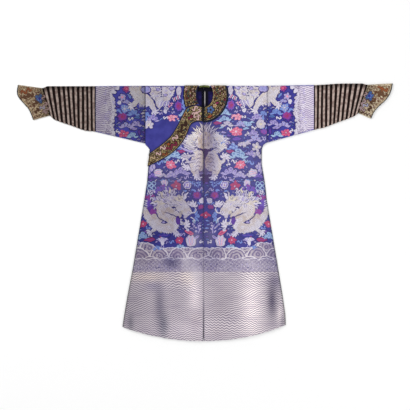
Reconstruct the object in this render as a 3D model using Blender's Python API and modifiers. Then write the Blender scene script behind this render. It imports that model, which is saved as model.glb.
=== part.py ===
"""Chinese dragon robe laid flat on a surface, front up, at its real size.

X runs across the sleeves, with the wearer's left on the plus side. Y runs up the robe to the neck.
Z runs up from the surface that the robe lies on. The origin is the middle of the robe's box, on that surface.

Each piece is a cloth wall. A point of the cut is (x, s): s is the length of cloth from the shoulder crease,
down the front where s is positive and down the back where it is negative. Lengths below are in millimetres.
"""

import math
from collections import namedtuple

import bpy

MM = 0.001

# Driving sizes
LENGTH = 1425.0  # shoulder crease to the lowest point of the hem
SLEEVE_SEAM = {"right": 325.0, "left": 354.0}  # centre line to the seam where the sleeve joins the body
VENT_TOP = 1180.0  # crease to where the centre vents begin to part
VENT_OPEN = 1.8  # half the vent's gap at the hem
HEM_BEND_START = 1100.0  # rows below this drop bend to follow the hem
HEM_BOW = {"right": 80.0, "left": 89.0}  # how far the hem rises from its middle to the side corners
HEM_HALF = 457.0  # half the hem's width

# Walls, gaps and heights
CLOTH = 1.6
LINING = 1.0
TAPE = 0.7
TRIM = 1.8  # collar, front band and their bindings
SEAM_GAP = 0.3
JOIN_GAP = 0.5  # the same where the ends of two flattened sleeves meet
CUFF_GAP = 0.8  # the same between a cuff and its bound edge
LAY_GAP = 0.45  # between a piece and the panel that it lies on
ROLL = 3.7  # outer radius of the cloth where it rolls over at a fold
FRONT_TOP = 2 * ROLL  # height of the front's upper face
SLEEVE_TOP = 6.8  # height of a flattened sleeve
UNDERLAP_TOP = 5.3  # the same where the outer flap lies on the underlap
TRIM_LIFT = LAY_GAP + TRIM + 0.2  # the back neck trim raises the cloth round it by this
SIDE_TOP = 3.6  # height of the front's upper face at a side seam
FLAP_SIDE_TOP = 5.6  # the same for the flap, which lies on the underlap there
SIDE_RAMP = 45.0  # width over which the front comes down to its side seam
BINDING = 5.0  # width of a bound edge

# Neck
NECK_CENTRE = 7.0  # to the left of the centre line
NECK_DROP = 50.0  # crease to the neck's widest line
NECK_HALF = {"right": 39.0, "left": 53.0}
NECK_DEPTH = 74.0  # widest line to the bottom of the neck
BACK_NECK = -6.3  # the back is cut this far past the crease
COLLAR_FRONT = 152.0  # widest line to the collar's lower edge
COLLAR_BACK = 130.0
COLLAR_SIDE = {"right": 109.0, "left": 133.0}
COLLAR_WIDTH = 76.0
RIM_LIP = 13.0  # how far the rim at the back of the neck comes over the crease
RIM_BULGE = 3.5
RIM_GAP = 1.8  # from the rim to the cut edge of the body on either side
OVERLAP_TOP = 112.0  # the flap's edge is about level at this drop
OVERLAP_TURN = 85.0  # as far out as this, and then it falls
OVERLAP_FALL = 1.2  # by this much for each millimetre outwards

# Half widths of the body at each drop below the crease
Side = namedtuple("Side", "drop right left")
BODY_SIDES = (
    Side(0, 325, 354),
    Side(316, 325, 354),
    Side(328, 325, 336),
    Side(340, 313, 330),
    Side(355, 302, 325),
    Side(440, 307, 325),
    Side(540, 316, 342),
    Side(640, 332, 353),
    Side(742, 349, 370),
    Side(1011, 394, 415),
    Side(1180, 427, 443),
    Side(1280, 444, 457),
    Side(1360, 455, 460),
)

# Soft ridges of the front: the line from (x_top, top) to (x_low, low), with its half width and height
Ridge = namedtuple("Ridge", "x_top top x_low low width height")
RIDGES = (
    Ridge(-62, 240, -50, 900, 38, 1.5),
    Ridge(70, 230, 62, 920, 42, 1.3),
    Ridge(-78, 960, -48, 1450, 60, 2.6),
    Ridge(-330, 900, -372, 1440, 52, 2.2),
    Ridge(-190, 1060, -222, 1450, 34, 1.3),
    Ridge(205, 930, 262, 1450, 78, 2.8),
    Ridge(395, 1130, 436, 1400, 26, 2.2),
    Ridge(210, 380, 250, 880, 60, 1.2),
    Ridge(-215, 520, -240, 900, 60, 1.3),
)

# The flap's overlap edge and the lower edge of the band along it, from the centre front to the side
Overlap = namedtuple("Overlap", "edge_x edge_s low_x low_s")
OVERLAP = (
    Overlap(-0.4, 125, -0.4, 202),
    Overlap(-22, 114, -24, 202),
    Overlap(-50, 110, -46, 205),
    Overlap(-94, 126, -72, 222),
    Overlap(-121, 172, -91, 268),
    Overlap(-149, 228, -117, 316),
    Overlap(-186, 284, -155, 361),
    Overlap(-243, 335, -216, 405),
    Overlap(-306, 381, -311, 453),
)

# Sleeves: drop of the upper and lower edge at each distance from the centre line
Edge = namedtuple("Edge", "out top low")
SLEEVE_EDGES = {
    "right": (Edge(325, 0, 322), Edge(602, 2, 257)),
    "left": (Edge(354, 0, 318), Edge(616, -4, 246)),
}
STRIPE_END = {
    "right": (Edge(902, 13, 0), Edge(860, 0, 166)),
    "left": (Edge(916, -6, 0), Edge(865, 0, 153)),
}
STRIPE_SAG = {"right": 14.0, "left": 8.0}  # how far its lower edge hangs below a straight line
TOP_RISE = 13.0  # how far the left sleeve rises above the crease
STRIPE_RISE = {"right": 2.0, "left": -TOP_RISE}  # drop of its upper edge before it turns in at the cuff
RIBS = 11
RIB_DEPTH = 0.7

# Mouth of the horse-hoof cuff, from its upper corner to its lower corner
Mouth = namedtuple("Mouth", "out drop")
MIDDLE_X = -8.0  # middle of the robe's whole width, from its centre line: the left cuff reaches further out
CUFF_MOUTH = {
    "right": (
        Mouth(1038, -5), Mouth(1045, 22), Mouth(1041, 50), Mouth(1015, 82),
        Mouth(988, 110), Mouth(968, 150), Mouth(952, 191),
    ),
    "left": (
        Mouth(1057, -TOP_RISE), Mouth(1055, 12), Mouth(1045, 40), Mouth(1021, 72),
        Mouth(988, 100), Mouth(958, 138), Mouth(936, 182),
    ),
}


def smooth(value):
    """0 below 0, 1 above 1, and an S curve between."""
    value = min(1.0, max(0.0, value))
    return value * value * (3 - 2 * value)


def through(points, t):
    """The point at share t of a smooth curve through the points."""
    last = len(points) - 1
    place = min(max(t, 0.0), 1.0) * last
    k = min(int(place), last - 1)
    u = place - k
    before, a, b, after = (points[min(max(k + step, 0), last)] for step in (-1, 0, 1, 2))
    return tuple(
        0.5 * (2 * q + (r - p) * u + (2 * p - 5 * q + 4 * r - w) * u**2 + (3 * q - p - 3 * r + w) * u**3)
        for p, q, r, w in zip(before, a, b, after)
    )


def side_half(drop, side):
    """Half the body's width at a drop below the crease."""
    rows = [(row.drop, getattr(row, side)) for row in BODY_SIDES]
    for (low, a), (high, b) in zip(rows, rows[1:]):
        if drop <= high:
            return a + (b - a) * (drop - low) / (high - low)
    return rows[-1][1]


def hem_drop(x):
    return LENGTH - HEM_BOW["left" if x > 0 else "right"] * abs(x / HEM_HALF) ** 2.1


def bent_drop(row, x):
    """Rows are level down to HEM_BEND_START, and follow the hem more and more below it."""
    if row <= HEM_BEND_START:
        return row
    share = (row - HEM_BEND_START) / (LENGTH - HEM_BEND_START)
    return HEM_BEND_START + share * (hem_drop(x) - HEM_BEND_START)


def side_drop(row, side):
    """The drop at which a row meets the side seam."""
    return bent_drop(row, HEM_HALF if side == "left" else -HEM_HALF)


def lift(x, drop):
    """How far the trim on the back raises the cloth round the neck."""
    return TRIM_LIFT * (1 - smooth((math.hypot(x - NECK_CENTRE, drop + 50) - 140) / 175))


def ridges(x, drop):
    total = 0.0
    for ridge in RIDGES:
        t = (drop - ridge.top) / (ridge.low - ridge.top)
        middle = ridge.x_top + (ridge.x_low - ridge.x_top) * t
        ends = smooth(t * 4) * smooth((1.12 - t) * 4)
        total += ridge.height * ends * math.exp(-(((x - middle) / ridge.width) ** 2))
    return total


def inboard(x, drop):
    """0 at a side seam, 1 well inside the body."""
    to_side = (side_half(drop, "left" if x > 0 else "right") - abs(x)) / SIDE_RAMP
    above_underarm = (355 - drop) / SIDE_RAMP
    return smooth(max(to_side, above_underarm))


def front_top(x, drop):
    edge = SIDE_TOP if x > 0 else FLAP_SIDE_TOP
    return lift(x, drop) + edge + (FRONT_TOP - edge + ridges(x, drop)) * inboard(x, drop)


def underlap_top(x, drop):
    """The front under the flap is low, and rises to the full height above the flap's edge."""
    flap_edge = OVERLAP_TOP + OVERLAP_FALL * max(0.0, abs(x) - OVERLAP_TURN)
    top = UNDERLAP_TOP + (FRONT_TOP - UNDERLAP_TOP) * smooth((flap_edge - drop - 12) / 85)
    return lift(x, drop) + SIDE_TOP + (top - SIDE_TOP) * inboard(x, drop)


def on_cloth(x, s, out, top):
    """The point out from the body cloth's outer face at (x, s); top(x, drop) is the height of its front."""
    if abs(s) < ROLL * math.pi / 2:
        angle = s / ROLL
        y = (ROLL + out) * math.cos(angle) - ROLL
        return x, y, lift(x, 0) + ROLL + (ROLL + out) * math.sin(angle)
    drop = abs(s) - ROLL * math.pi / 2 + ROLL
    return x, -drop, top(x, drop) + out if s > 0 else lift(x, drop) - out


def cut_length(drop):
    """The length of cloth from the crease to a drop, round the roll."""
    return drop + ROLL * math.pi / 2 - ROLL


def colour(name, rgb, roughness, metallic=0.0):
    material = bpy.data.materials.new(name)
    material.use_nodes = True
    shader = material.node_tree.nodes["Principled BSDF"]
    shader.inputs["Base Color"].default_value = (*rgb, 1)
    shader.inputs["Roughness"].default_value = roughness
    shader.inputs["Metallic"].default_value = metallic
    return material


def wall(name, rows, thickness, material, closed=False, outward=False):
    """A cloth wall over a surface whose rows run down the front and whose points run towards plus X.

    The thickness goes inwards, or outwards for a piece that lies on another. A closed wall joins its last
    row to its first.
    """
    mesh = bpy.data.meshes.new(name)
    across = len(rows[0])
    points = [tuple(v * MM for v in point) for row in rows for point in row]
    pairs = [(i, (i + 1) % len(rows)) for i in range(len(rows) if closed else len(rows) - 1)]
    faces = [
        (i * across + j, k * across + j, k * across + j + 1, i * across + j + 1)
        for i, k in pairs
        for j in range(across - 1)
    ]
    mesh.from_pydata(points, [], faces)
    mesh.materials.append(material)
    piece = bpy.data.objects.new(name, mesh)
    cloth.objects.link(piece)
    piece.parent = robe
    solidify = piece.modifiers.new("wall", "SOLIDIFY")
    solidify.thickness = thickness * MM
    solidify.offset = 1 if outward else -1
    solidify.use_even_offset = True
    return piece


def vent(row):
    """How far a panel's centre edge stands from the centre line."""
    return SEAM_GAP / 2 + VENT_OPEN * smooth((row - VENT_TOP) / (LENGTH - VENT_TOP))


def neck_edge(s, side):
    """The neck cut's distance from the centre line, where there is one."""
    share = min(1.0, abs(s - NECK_DROP) / NECK_DEPTH)
    return NECK_HALF[side] * math.sqrt(1 - share * share)


FRONT_ROWS = (14, 40, 72, 98, 115, 124, 165, 210, 265, 316, 328, 340, 355, 400, 440, 520, 600)
SKIRT_ROWS = (690, 780, 870, 960, 1040, 1120, 1180, 1240, 1300, 1350, 1390, 1425)
BACK_ROWS = (
    6.8, 20, 50, 90, 150, 228, 316, 328, 340, 355,
    440, 540, 690, 850, 1011, 1120, 1200, 1280, 1360, LENGTH,
)
ROLL_TURNS = (-1, -0.67, -0.33, 0, 0.33, 0.67, 1)
ROLL_END = ROLL * math.pi / 2  # length of cloth from the crease to either end of the roll
COLUMNS = (0, 0.11, 0.22, 0.33, 0.44, 0.55, 0.66, 0.77, 0.86, 0.94, 1)  # shares of the way to the side seam


def across(inner, outer, side, columns=COLUMNS):
    """Points from one edge to the other towards plus X, closer together near the side seam."""
    xs = [inner + (outer - inner) * share for share in columns]
    return xs if side == "left" else [-x for x in reversed(xs)]


def cut_row(inner, outer, row, side, front, top):
    """One row of a body panel."""
    points = []
    for x in across(inner, outer, side):
        s = cut_length(bent_drop(row, x))
        points.append(on_cloth(x, s if front else -s, 0, top))
    return points


def body_half(side, top):
    """Front and back of one side in one length of cloth, folded at the shoulder."""
    rows = []
    for row in reversed(BACK_ROWS):
        rows.append(cut_row(vent(row), side_half(side_drop(row, side), side), row, side, False, top))
    for turn in ROLL_TURNS:
        s = BACK_NECK if turn == -1 else turn * ROLL_END
        xs = across(neck_edge(s, side), SLEEVE_SEAM[side], side)
        rows.append([on_cloth(x, s, 0, top) for x in xs])
    for row in FRONT_ROWS + SKIRT_ROWS:
        inner = max(vent(row), neck_edge(row, side))
        rows.append(cut_row(inner, side_half(side_drop(row, side), side), row, side, True, top))
    return wall(f"body_{side}", rows, CLOTH, brocade)


def outer_flap():
    """The panel that crosses the front to the wearer's right, from its overlap edge to the hem."""
    edge = [(row.edge_x, row.edge_s) for row in OVERLAP]
    top_share = 3 / (len(OVERLAP) - 1)
    top_row = [through(edge, top_share * share) for share in reversed(COLUMNS)]
    rows = [[on_cloth(x, s, 0, front_top) for x, s in top_row]]
    slanted = [through(edge, top_share + (1 - top_share) * k / 12) for k in range(1, 13)]
    for x_edge, s_edge in slanted:
        rows.append([on_cloth(x, s_edge, 0, front_top) for x in across(vent(0), -x_edge, "right")])
    for row in (400,) + FRONT_ROWS[-3:] + SKIRT_ROWS:
        outer = side_half(side_drop(row, "right"), "right")
        rows.append(cut_row(vent(row), outer, row, "right", True, front_top))
    return wall("outer_flap", rows, CLOTH, brocade)


def lining_half(side):
    """The lining of one half of the back, which shows in the neck and through the vent."""
    hem_inset = 16.0
    rows = []
    for row in reversed(BACK_ROWS):
        points = []
        for x in across(vent(0), side_half(side_drop(row, side), side), side, COLUMNS[:-2]):
            drop = bent_drop(row, x) - (hem_inset if row == LENGTH else 0)
            points.append((x, -drop, lift(x, drop) + CLOTH + LAY_GAP))
        rows.append(points)
    return wall(f"lining_{side}", rows[::-1], LINING, navy, outward=True)


def seam_tape():
    """The pale tape over the lining's centre seam, seen through the neck."""
    half, height = 2.8, CLOTH + LAY_GAP + LINING + SEAM_GAP
    rows = [
        [(x, -drop, lift(x, drop) + height) for x in (NECK_CENTRE - half, NECK_CENTRE + half)]
        for drop in (14, 50, 90, 120, 150, 190)
    ]
    return wall("lining_tape", rows, TAPE, pale_tape, outward=True)


def strip(name, edges, thickness, material, top, columns=2):
    """Trim on the body cloth, between two edges of pairs of (x, s), the second on the left going down."""
    rows = []
    for (xa, sa), (xb, sb) in edges:
        shares = [j / columns for j in range(columns + 1)]
        rows.append([on_cloth(xa + (xb - xa) * t, sa + (sb - sa) * t, LAY_GAP, top) for t in shares])
    return wall(name, rows, thickness, material, outward=True)


def neck_line(phase, side):
    """The neck edge at a phase: 0 at the centre front, 1 and 2 at the roll's ends, 3 at the centre back."""
    sign = 1 if side == "left" else -1
    if phase >= 2:
        s, x = BACK_NECK, neck_edge(BACK_NECK, side) * (3 - phase)
    elif phase >= 1:
        s = ROLL_END * (3 - 2 * phase)
        x = neck_edge(s, side)
    else:
        first = math.pi / 2
        angle = first + (math.asin((ROLL_END - NECK_DROP) / NECK_DEPTH) - first) * phase
        s, x = NECK_DROP + NECK_DEPTH * math.sin(angle), NECK_HALF[side] * math.cos(angle)
    return sign * max(x, SEAM_GAP), s


def outer_line(phase, side):
    """The collar's outer edge at a phase, as in neck_line."""
    sign = 1 if side == "left" else -1
    ends = [math.asin((s - NECK_DROP) / COLLAR_BACK) for s in (ROLL_END, -ROLL_END)]
    if 1 <= phase <= 2:
        s = ROLL_END * (3 - 2 * phase)
        angle = math.asin((s - NECK_DROP) / COLLAR_BACK)
    elif phase < 1:
        angle = math.pi / 2 + (ends[0] - math.pi / 2) * phase
        s = NECK_DROP + (COLLAR_FRONT if angle > 0 else COLLAR_BACK) * math.sin(angle)
    else:
        angle = ends[1] + (-math.pi / 2 - ends[1]) * (phase - 2)
        s = NECK_DROP + COLLAR_BACK * math.sin(angle)
    return sign * max(COLLAR_SIDE[side] * math.cos(angle), SEAM_GAP), s


def collar_edges(side, near, far, starts):
    """Pairs of edge points from the centre back to the front end, at two shares of the collar's width.

    starts holds the phases at which the neck edge and the outer edge end in front.
    """
    phases = [k / 12 for k in range(12)]
    phases += [(3 - turn) / 2 for turn in reversed(ROLL_TURNS)] + [2.1, 2.25, 2.4, 2.6, 2.8, 3]
    edges = []
    for phase in reversed(phases):
        to_front = 1 - min(phase, 1.0)
        a = neck_line(phase + to_front * starts[0], side)
        b = outer_line(phase + to_front * starts[1], side)
        pair = [(a[0] + (b[0] - a[0]) * width, a[1] + (b[1] - a[1]) * width) for width in (near, far)]
        edges.append(pair if side == "left" else pair[::-1])
    return edges


def collar_arc(side, starts, top):
    """One side of the neck band, and the binding round it."""
    strip(f"collar_{side}", collar_edges(side, 0, 1, starts), TRIM, gold, top, columns=2)
    beyond = 1 + SEAM_GAP / COLLAR_WIDTH
    bound = collar_edges(side, beyond, beyond + BINDING / COLLAR_WIDTH, starts)
    strip(f"collar_binding_{side}", bound, TRIM, binding_cloth, top, columns=1)


def beside(points, k, distance):
    """The point at a distance to the left of a line of points, at its point k."""
    ahead, behind = points[min(k + 1, len(points) - 1)], points[max(k - 1, 0)]
    dx, ds = ahead[0] - behind[0], ahead[1] - behind[1]
    long = math.hypot(dx, ds)
    return points[k][0] + ds / long * distance, points[k][1] - dx / long * distance


def front_band():
    """The band along the flap's overlap edge, with a bound edge on each side of it."""
    steps = 30
    upper = [through([(row.edge_x, row.edge_s) for row in OVERLAP], k / steps) for k in range(steps + 1)]
    lower = [through([(row.low_x, row.low_s) for row in OVERLAP], k / steps) for k in range(steps + 1)]
    inner = [beside(upper, k, BINDING) for k in range(steps + 1)]
    outer = [beside(lower, k, -BINDING) for k in range(steps + 1)]
    gap_in = [beside(upper, k, BINDING + SEAM_GAP) for k in range(steps + 1)]
    gap_out = [beside(lower, k, -BINDING - SEAM_GAP) for k in range(steps + 1)]
    strip("front_band", list(zip(gap_in, gap_out)), TRIM, gold, front_top, columns=3)
    strip("band_binding_upper", list(zip(upper, inner)), TRIM, binding_cloth, front_top, columns=1)
    strip("band_binding_lower", list(zip(outer, lower)), TRIM, binding_cloth, front_top, columns=1)


def back_neck_rim():
    """The bound rim that rolls over the back of the neck."""
    ends = [-neck_edge(BACK_NECK, "right") + RIM_GAP, neck_edge(BACK_NECK, "left") - RIM_GAP]
    middle, half = (ends[0] + ends[1]) / 2, (ends[1] - ends[0]) / 2
    rows = []
    for s in [turn * ROLL_END for turn in ROLL_TURNS] + [RIM_LIP]:
        row = []
        for k in range(7):
            t = k / 3 - 1
            x, y, z = on_cloth(middle + half * t, s, 0, front_top)
            row.append((x, y + RIM_BULGE * (1 - t * t), z))
        rows.append(row)
    return wall("neck_rim", rows, CLOTH, rim_cloth)


def ring(upper, lower, bow, height=SLEEVE_TOP):
    """Points round a flattened sleeve, down its front and back up under it.

    upper and lower are the (x, drop) ends of the section in plan, and bow(t) the sideways move along it.
    """
    flat_steps, roll_steps = 4, 3
    long = math.hypot(lower[0] - upper[0], lower[1] - upper[1])
    radius = height / 2

    def plan(distance):
        t = distance / long
        x = upper[0] + (lower[0] - upper[0]) * t
        drop = upper[1] + (lower[1] - upper[1]) * t
        return x + bow(min(max(t, 0.0), 1.0)), -drop

    points = []
    for k in range(flat_steps + 1):
        points.append((*plan(radius + (long - 2 * radius) * k / flat_steps), height))
    for k in range(1, roll_steps):
        turn = math.pi * k / roll_steps
        points.append((*plan(long - radius + radius * math.sin(turn)), radius + radius * math.cos(turn)))
    for k in range(flat_steps + 1):
        points.append((*plan(long - radius - (long - 2 * radius) * k / flat_steps), 0.0))
    for k in range(1, roll_steps):
        turn = math.pi * k / roll_steps
        points.append((*plan(radius - radius * math.sin(turn)), radius - radius * math.cos(turn)))
    return points


def tube(name, rings, side, material):
    """A flattened tube through rings that run out from the body."""
    rings = rings if side == "left" else rings[::-1]
    rows = [list(row) for row in zip(*rings)]
    return wall(name, rows, CLOTH, material, closed=True)


def no_bow(_):
    return 0.0


def sleeve(side):
    sign = 1 if side == "left" else -1
    near, far = SLEEVE_EDGES[side]
    rings = []
    for k in range(5):
        t = k / 4
        out = near.out + JOIN_GAP + (far.out - near.out - JOIN_GAP) * t
        top, low = near.top + (far.top - near.top) * t, near.low + (far.low - near.low) * t
        rings.append(ring((sign * out, top), (sign * out, low), no_bow))
    return tube(f"sleeve_{side}", rings, side, brocade)


def striped_sleeve(side):
    """The ribbed extension: a crest and a trough for each stripe, turning to lie along the cuff seam."""
    sign = 1 if side == "left" else -1
    near = SLEEVE_EDGES[side][1]
    end_top, end_low = STRIPE_END[side]
    count = 2 * RIBS
    rings = []
    for k in range(count + 1):
        t = k / count
        slant = t**1.8
        start = near.out + JOIN_GAP
        low_out = start + (end_low.out - start) * t
        top_out = start + (end_low.out - start) * t + (end_top.out - end_low.out) * slant
        turn_in = smooth((t - 0.9) * 10)
        level = near.top + (STRIPE_RISE[side] - near.top) * smooth(t * 1.6)
        top = level + (end_top.top - level) * turn_in
        low = near.low + (end_low.low - near.low) * t + STRIPE_SAG[side] * smooth(t * 4) * (1 - turn_in)
        height = SLEEVE_TOP - (RIB_DEPTH if k % 2 == 0 else 0)
        dip = RIB_DEPTH * 1.5 if k % 2 == 0 and 0 < k < count else 0
        rings.append(ring((sign * top_out, top), (sign * low_out, low - dip), no_bow, height))
    return tube(f"striped_sleeve_{side}", rings, side, striped_silk)


def toward(start, end, share):
    """The point at a share of the way between two points."""
    return tuple(a + (b - a) * share for a, b in zip(start, end))


def cuff(side):
    """The horse-hoof cuff: its inner end lies along the slanted seam, and its mouth follows CUFF_MOUTH."""
    sign = 1 if side == "left" else -1
    end_top, end_low = STRIPE_END[side]
    mouth = CUFF_MOUTH[side]
    steps = 6

    def section(share, short):
        """The ring at a share of the way from the seam to the mouth, there short of it by a length."""
        first, last = mouth[0], mouth[-1]
        upper = toward((end_top.out, end_top.top), first, share)
        lower = toward((end_low.out, end_low.low), last, share)

        def bow(t):
            out, drop = through(mouth, t)
            straight = first.out + (last.out - first.out) * (drop - first.drop) / (last.drop - first.drop)
            return sign * (out - straight - short) * share

        return ring((sign * (upper[0] + JOIN_GAP), upper[1]), (sign * (lower[0] + JOIN_GAP), lower[1]), bow)

    tube(f"cuff_{side}", [section(k / steps, BINDING) for k in range(steps + 1)], side, gold)
    tube(f"cuff_binding_{side}", [section(1, BINDING - CUFF_GAP), section(1, JOIN_GAP)], side, binding_cloth)


for old in list(bpy.data.objects):
    bpy.data.objects.remove(old, do_unlink=True)

cloth = bpy.data.collections.new("dragon_robe")
bpy.context.scene.collection.children.link(cloth)
robe = bpy.data.objects.new("robe", None)
cloth.objects.link(robe)
robe.location = (MIDDLE_X * MM, (LENGTH - TOP_RISE) / 2 * MM, 0)

brocade = colour("brocade", (0.10, 0.09, 0.33), 0.45)
navy = colour("navy_lining", (0.012, 0.011, 0.045), 0.5)
gold = colour("gold_brocade", (0.30, 0.20, 0.08), 0.5, 0.3)
binding_cloth = colour("binding", (0.02, 0.05, 0.06), 0.6)
striped_silk = colour("striped_silk", (0.16, 0.11, 0.09), 0.5)
pale_tape = colour("pale_tape", (0.45, 0.43, 0.42), 0.6)
rim_cloth = colour("rim", (0.19, 0.22, 0.09), 0.5)

body_half("right", underlap_top)
body_half("left", front_top)
outer_flap()
for half in ("right", "left"):
    lining_half(half)
    sleeve(half)
    striped_sleeve(half)
    cuff(half)
seam_tape()
collar_arc("right", (0.35, 0.57), underlap_top)
collar_arc("left", (0, 0), front_top)
front_band()
back_neck_rim()
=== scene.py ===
"""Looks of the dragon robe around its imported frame: silk brocade, stripes, gold trim and the woven figures.

Lengths are in millimetres unless a name says otherwise. A point of the cloth is (x, s): x from the centre
seam towards the wearer's left, s the length of cloth from the shoulder crease, down the front where it is
positive and down the back where it is negative. Woven figures are placed on a chart of CHART-sized squares
as complex numbers: squares across from the centre seam, and squares up from the crease, so that places on
the robe lie below 0.
"""

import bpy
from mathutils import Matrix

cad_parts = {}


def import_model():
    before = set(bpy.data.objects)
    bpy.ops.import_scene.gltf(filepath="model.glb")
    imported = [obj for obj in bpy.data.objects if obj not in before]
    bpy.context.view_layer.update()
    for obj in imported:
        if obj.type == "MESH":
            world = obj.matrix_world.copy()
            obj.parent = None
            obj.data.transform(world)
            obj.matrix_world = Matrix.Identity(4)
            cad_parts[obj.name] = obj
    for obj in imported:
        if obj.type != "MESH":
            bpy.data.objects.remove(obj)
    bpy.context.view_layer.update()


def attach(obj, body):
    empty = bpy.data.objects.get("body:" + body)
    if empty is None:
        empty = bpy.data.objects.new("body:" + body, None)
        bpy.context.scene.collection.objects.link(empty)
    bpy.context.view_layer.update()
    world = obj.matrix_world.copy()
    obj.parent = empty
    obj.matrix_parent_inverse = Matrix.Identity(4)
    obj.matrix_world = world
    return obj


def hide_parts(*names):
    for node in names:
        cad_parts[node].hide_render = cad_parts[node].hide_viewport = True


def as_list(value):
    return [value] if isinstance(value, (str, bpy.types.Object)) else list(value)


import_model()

import cmath
import math
import random
from collections import namedtuple

import bmesh
import bpy
import numpy as np
from mathutils import Vector
from mathutils.geometry import tessellate_polygon

MM = 0.001
ORIGIN_X, ORIGIN_Y = -8.0, 706.0  # centre seam and shoulder crease in the frame
CHART = 5.585  # a chart square, which is what one pixel of the photo covers
SIGN = {"left": 1, "right": -1}  # of x, on the wearer's left and right

# Cut and heights of the solids that the cloth pieces stand for
LENGTH = 1425.0
SLEEVE_SEAM = {"right": 325.0, "left": 354.0}
VENT_TOP, VENT_OPEN = 1180.0, 1.8
HEM_BEND_START = 1100.0
HEM_BOW = {"right": 80.0, "left": 89.0}
HEM_HALF, HEM_POWER = 457.0, 2.1
SEAM_GAP, JOIN_GAP, CUFF_GAP, LAY_GAP = 0.3, 0.5, 0.8, 0.45
ROLL = 3.7
ROLL_END = ROLL * math.pi / 2
FRONT_TOP, SLEEVE_TOP, UNDERLAP_TOP = 7.4, 6.8, 5.3
TRIM, TRIM_LIFT, BINDING = 1.8, 2.45, 5.0
LIFT_NEAR, LIFT_RUN = 140.0, 175.0  # the trim lifts the cloth this far round the neck, then less
SIDE_TOP, FLAP_SIDE_TOP, SIDE_RAMP = 3.6, 5.6, 45.0
UNDERARM = 355.0  # drop where the side seams begin
NECK_CENTRE, NECK_DROP, NECK_DEPTH, BACK_NECK = 7.0, 50.0, 74.0, -6.3
NECK_HALF = {"right": 39.0, "left": 53.0}
COLLAR_FRONT, COLLAR_BACK, COLLAR_WIDTH = 152.0, 130.0, 76.0
COLLAR_SIDE = {"right": 109.0, "left": 133.0}
RIM_LIP, RIM_BULGE, RIM_GAP = 13.0, 3.5, 1.8
OVERLAP_TOP, OVERLAP_TURN, OVERLAP_FALL = 112.0, 85.0, 1.2
STEP_DOWN, STEP_RUN = 12.0, 85.0  # the underlap comes down over this run, this far under the flap's edge

# Heights of the visible cloth over those solids
SKIN = -0.6  # face of the cloth from the solid's face
SILK = 0.9  # thickness of the cloth
FLOAT = 0.14  # height of the lowest woven figures over the cloth
LAYER = 0.09  # and between the layers of a figure
STAGGER, TURNS = 0.011, 7  # figures of one layer that cross are this much apart
RISE = 0.002  # a ribbon rises by this from point to point, so that it doesn't lie in itself where it bends
RISES = 6  # and starts again after so many points

Side = namedtuple("Side", "drop right left")
BODY_SIDES = (
    Side(0, 325, 354), Side(316, 325, 354), Side(328, 325, 336), Side(340, 313, 330), Side(355, 302, 325),
    Side(440, 307, 325), Side(540, 316, 342), Side(640, 332, 353), Side(742, 349, 370), Side(1011, 394, 415),
    Side(1180, 427, 443), Side(1280, 444, 457), Side(1360, 455, 460),
)
SIDE_DROPS = [row.drop for row in BODY_SIDES]

Ridge = namedtuple("Ridge", "x_top top x_low low width height")
RIDGES = (
    Ridge(-62, 240, -50, 900, 38, 1.5), Ridge(70, 230, 62, 920, 42, 1.3),
    Ridge(-78, 960, -48, 1450, 60, 2.6), Ridge(-330, 900, -372, 1440, 52, 2.2),
    Ridge(-190, 1060, -222, 1450, 34, 1.3), Ridge(205, 930, 262, 1450, 78, 2.8),
    Ridge(395, 1130, 436, 1400, 26, 2.2), Ridge(210, 380, 250, 880, 60, 1.2),
    Ridge(-215, 520, -240, 900, 60, 1.3),
)
# Finer creases of the visible cloth: ridges, and troughs where the height is below 0
CREASES = (
    Ridge(-232, 1090, -246, 1440, 16, -1.2), Ridge(-262, 1120, -300, 1460, 20, 1.8),
    Ridge(-205, 1080, -216, 1440, 15, 1.7), Ridge(372, 1060, 398, 1400, 13, -1.0),
    Ridge(348, 1000, 378, 1420, 18, 1.9), Ridge(-398, 1180, -418, 1420, 12, 1.6),
    Ridge(-438, 1240, -404, 1400, 9, -0.9), Ridge(120, 1120, 150, 1450, 22, 1.0),
    Ridge(-130, 1150, -150, 1440, 24, 1.1), Ridge(320, 900, 300, 1180, 26, 1.1),
    Ridge(-300, 860, -330, 1180, 24, 1.0), Ridge(26, 250, 34, 900, 15, 1.2),
    Ridge(-24, 290, -30, 900, 14, 1.1), Ridge(290, 330, 170, 520, 15, 1.1),
    Ridge(300, 372, 240, 640, 14, 1.2), Ridge(-270, 480, -190, 650, 15, 1.0),
    Ridge(150, 560, 120, 900, 26, 0.9), Ridge(-120, 640, -140, 940, 26, 0.8),
    Ridge(330, 660, 352, 960, 16, 0.9), Ridge(-336, 700, -372, 1000, 15, 0.9),
)

Overlap = namedtuple("Overlap", "edge_x edge_s low_x low_s")
OVERLAP = (
    Overlap(-0.4, 125, -0.4, 202), Overlap(-22, 114, -24, 202), Overlap(-50, 110, -46, 205),
    Overlap(-94, 126, -72, 222), Overlap(-121, 172, -91, 268), Overlap(-149, 228, -117, 316),
    Overlap(-186, 284, -155, 361), Overlap(-243, 335, -216, 405), Overlap(-306, 381, -311, 453),
)

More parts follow.
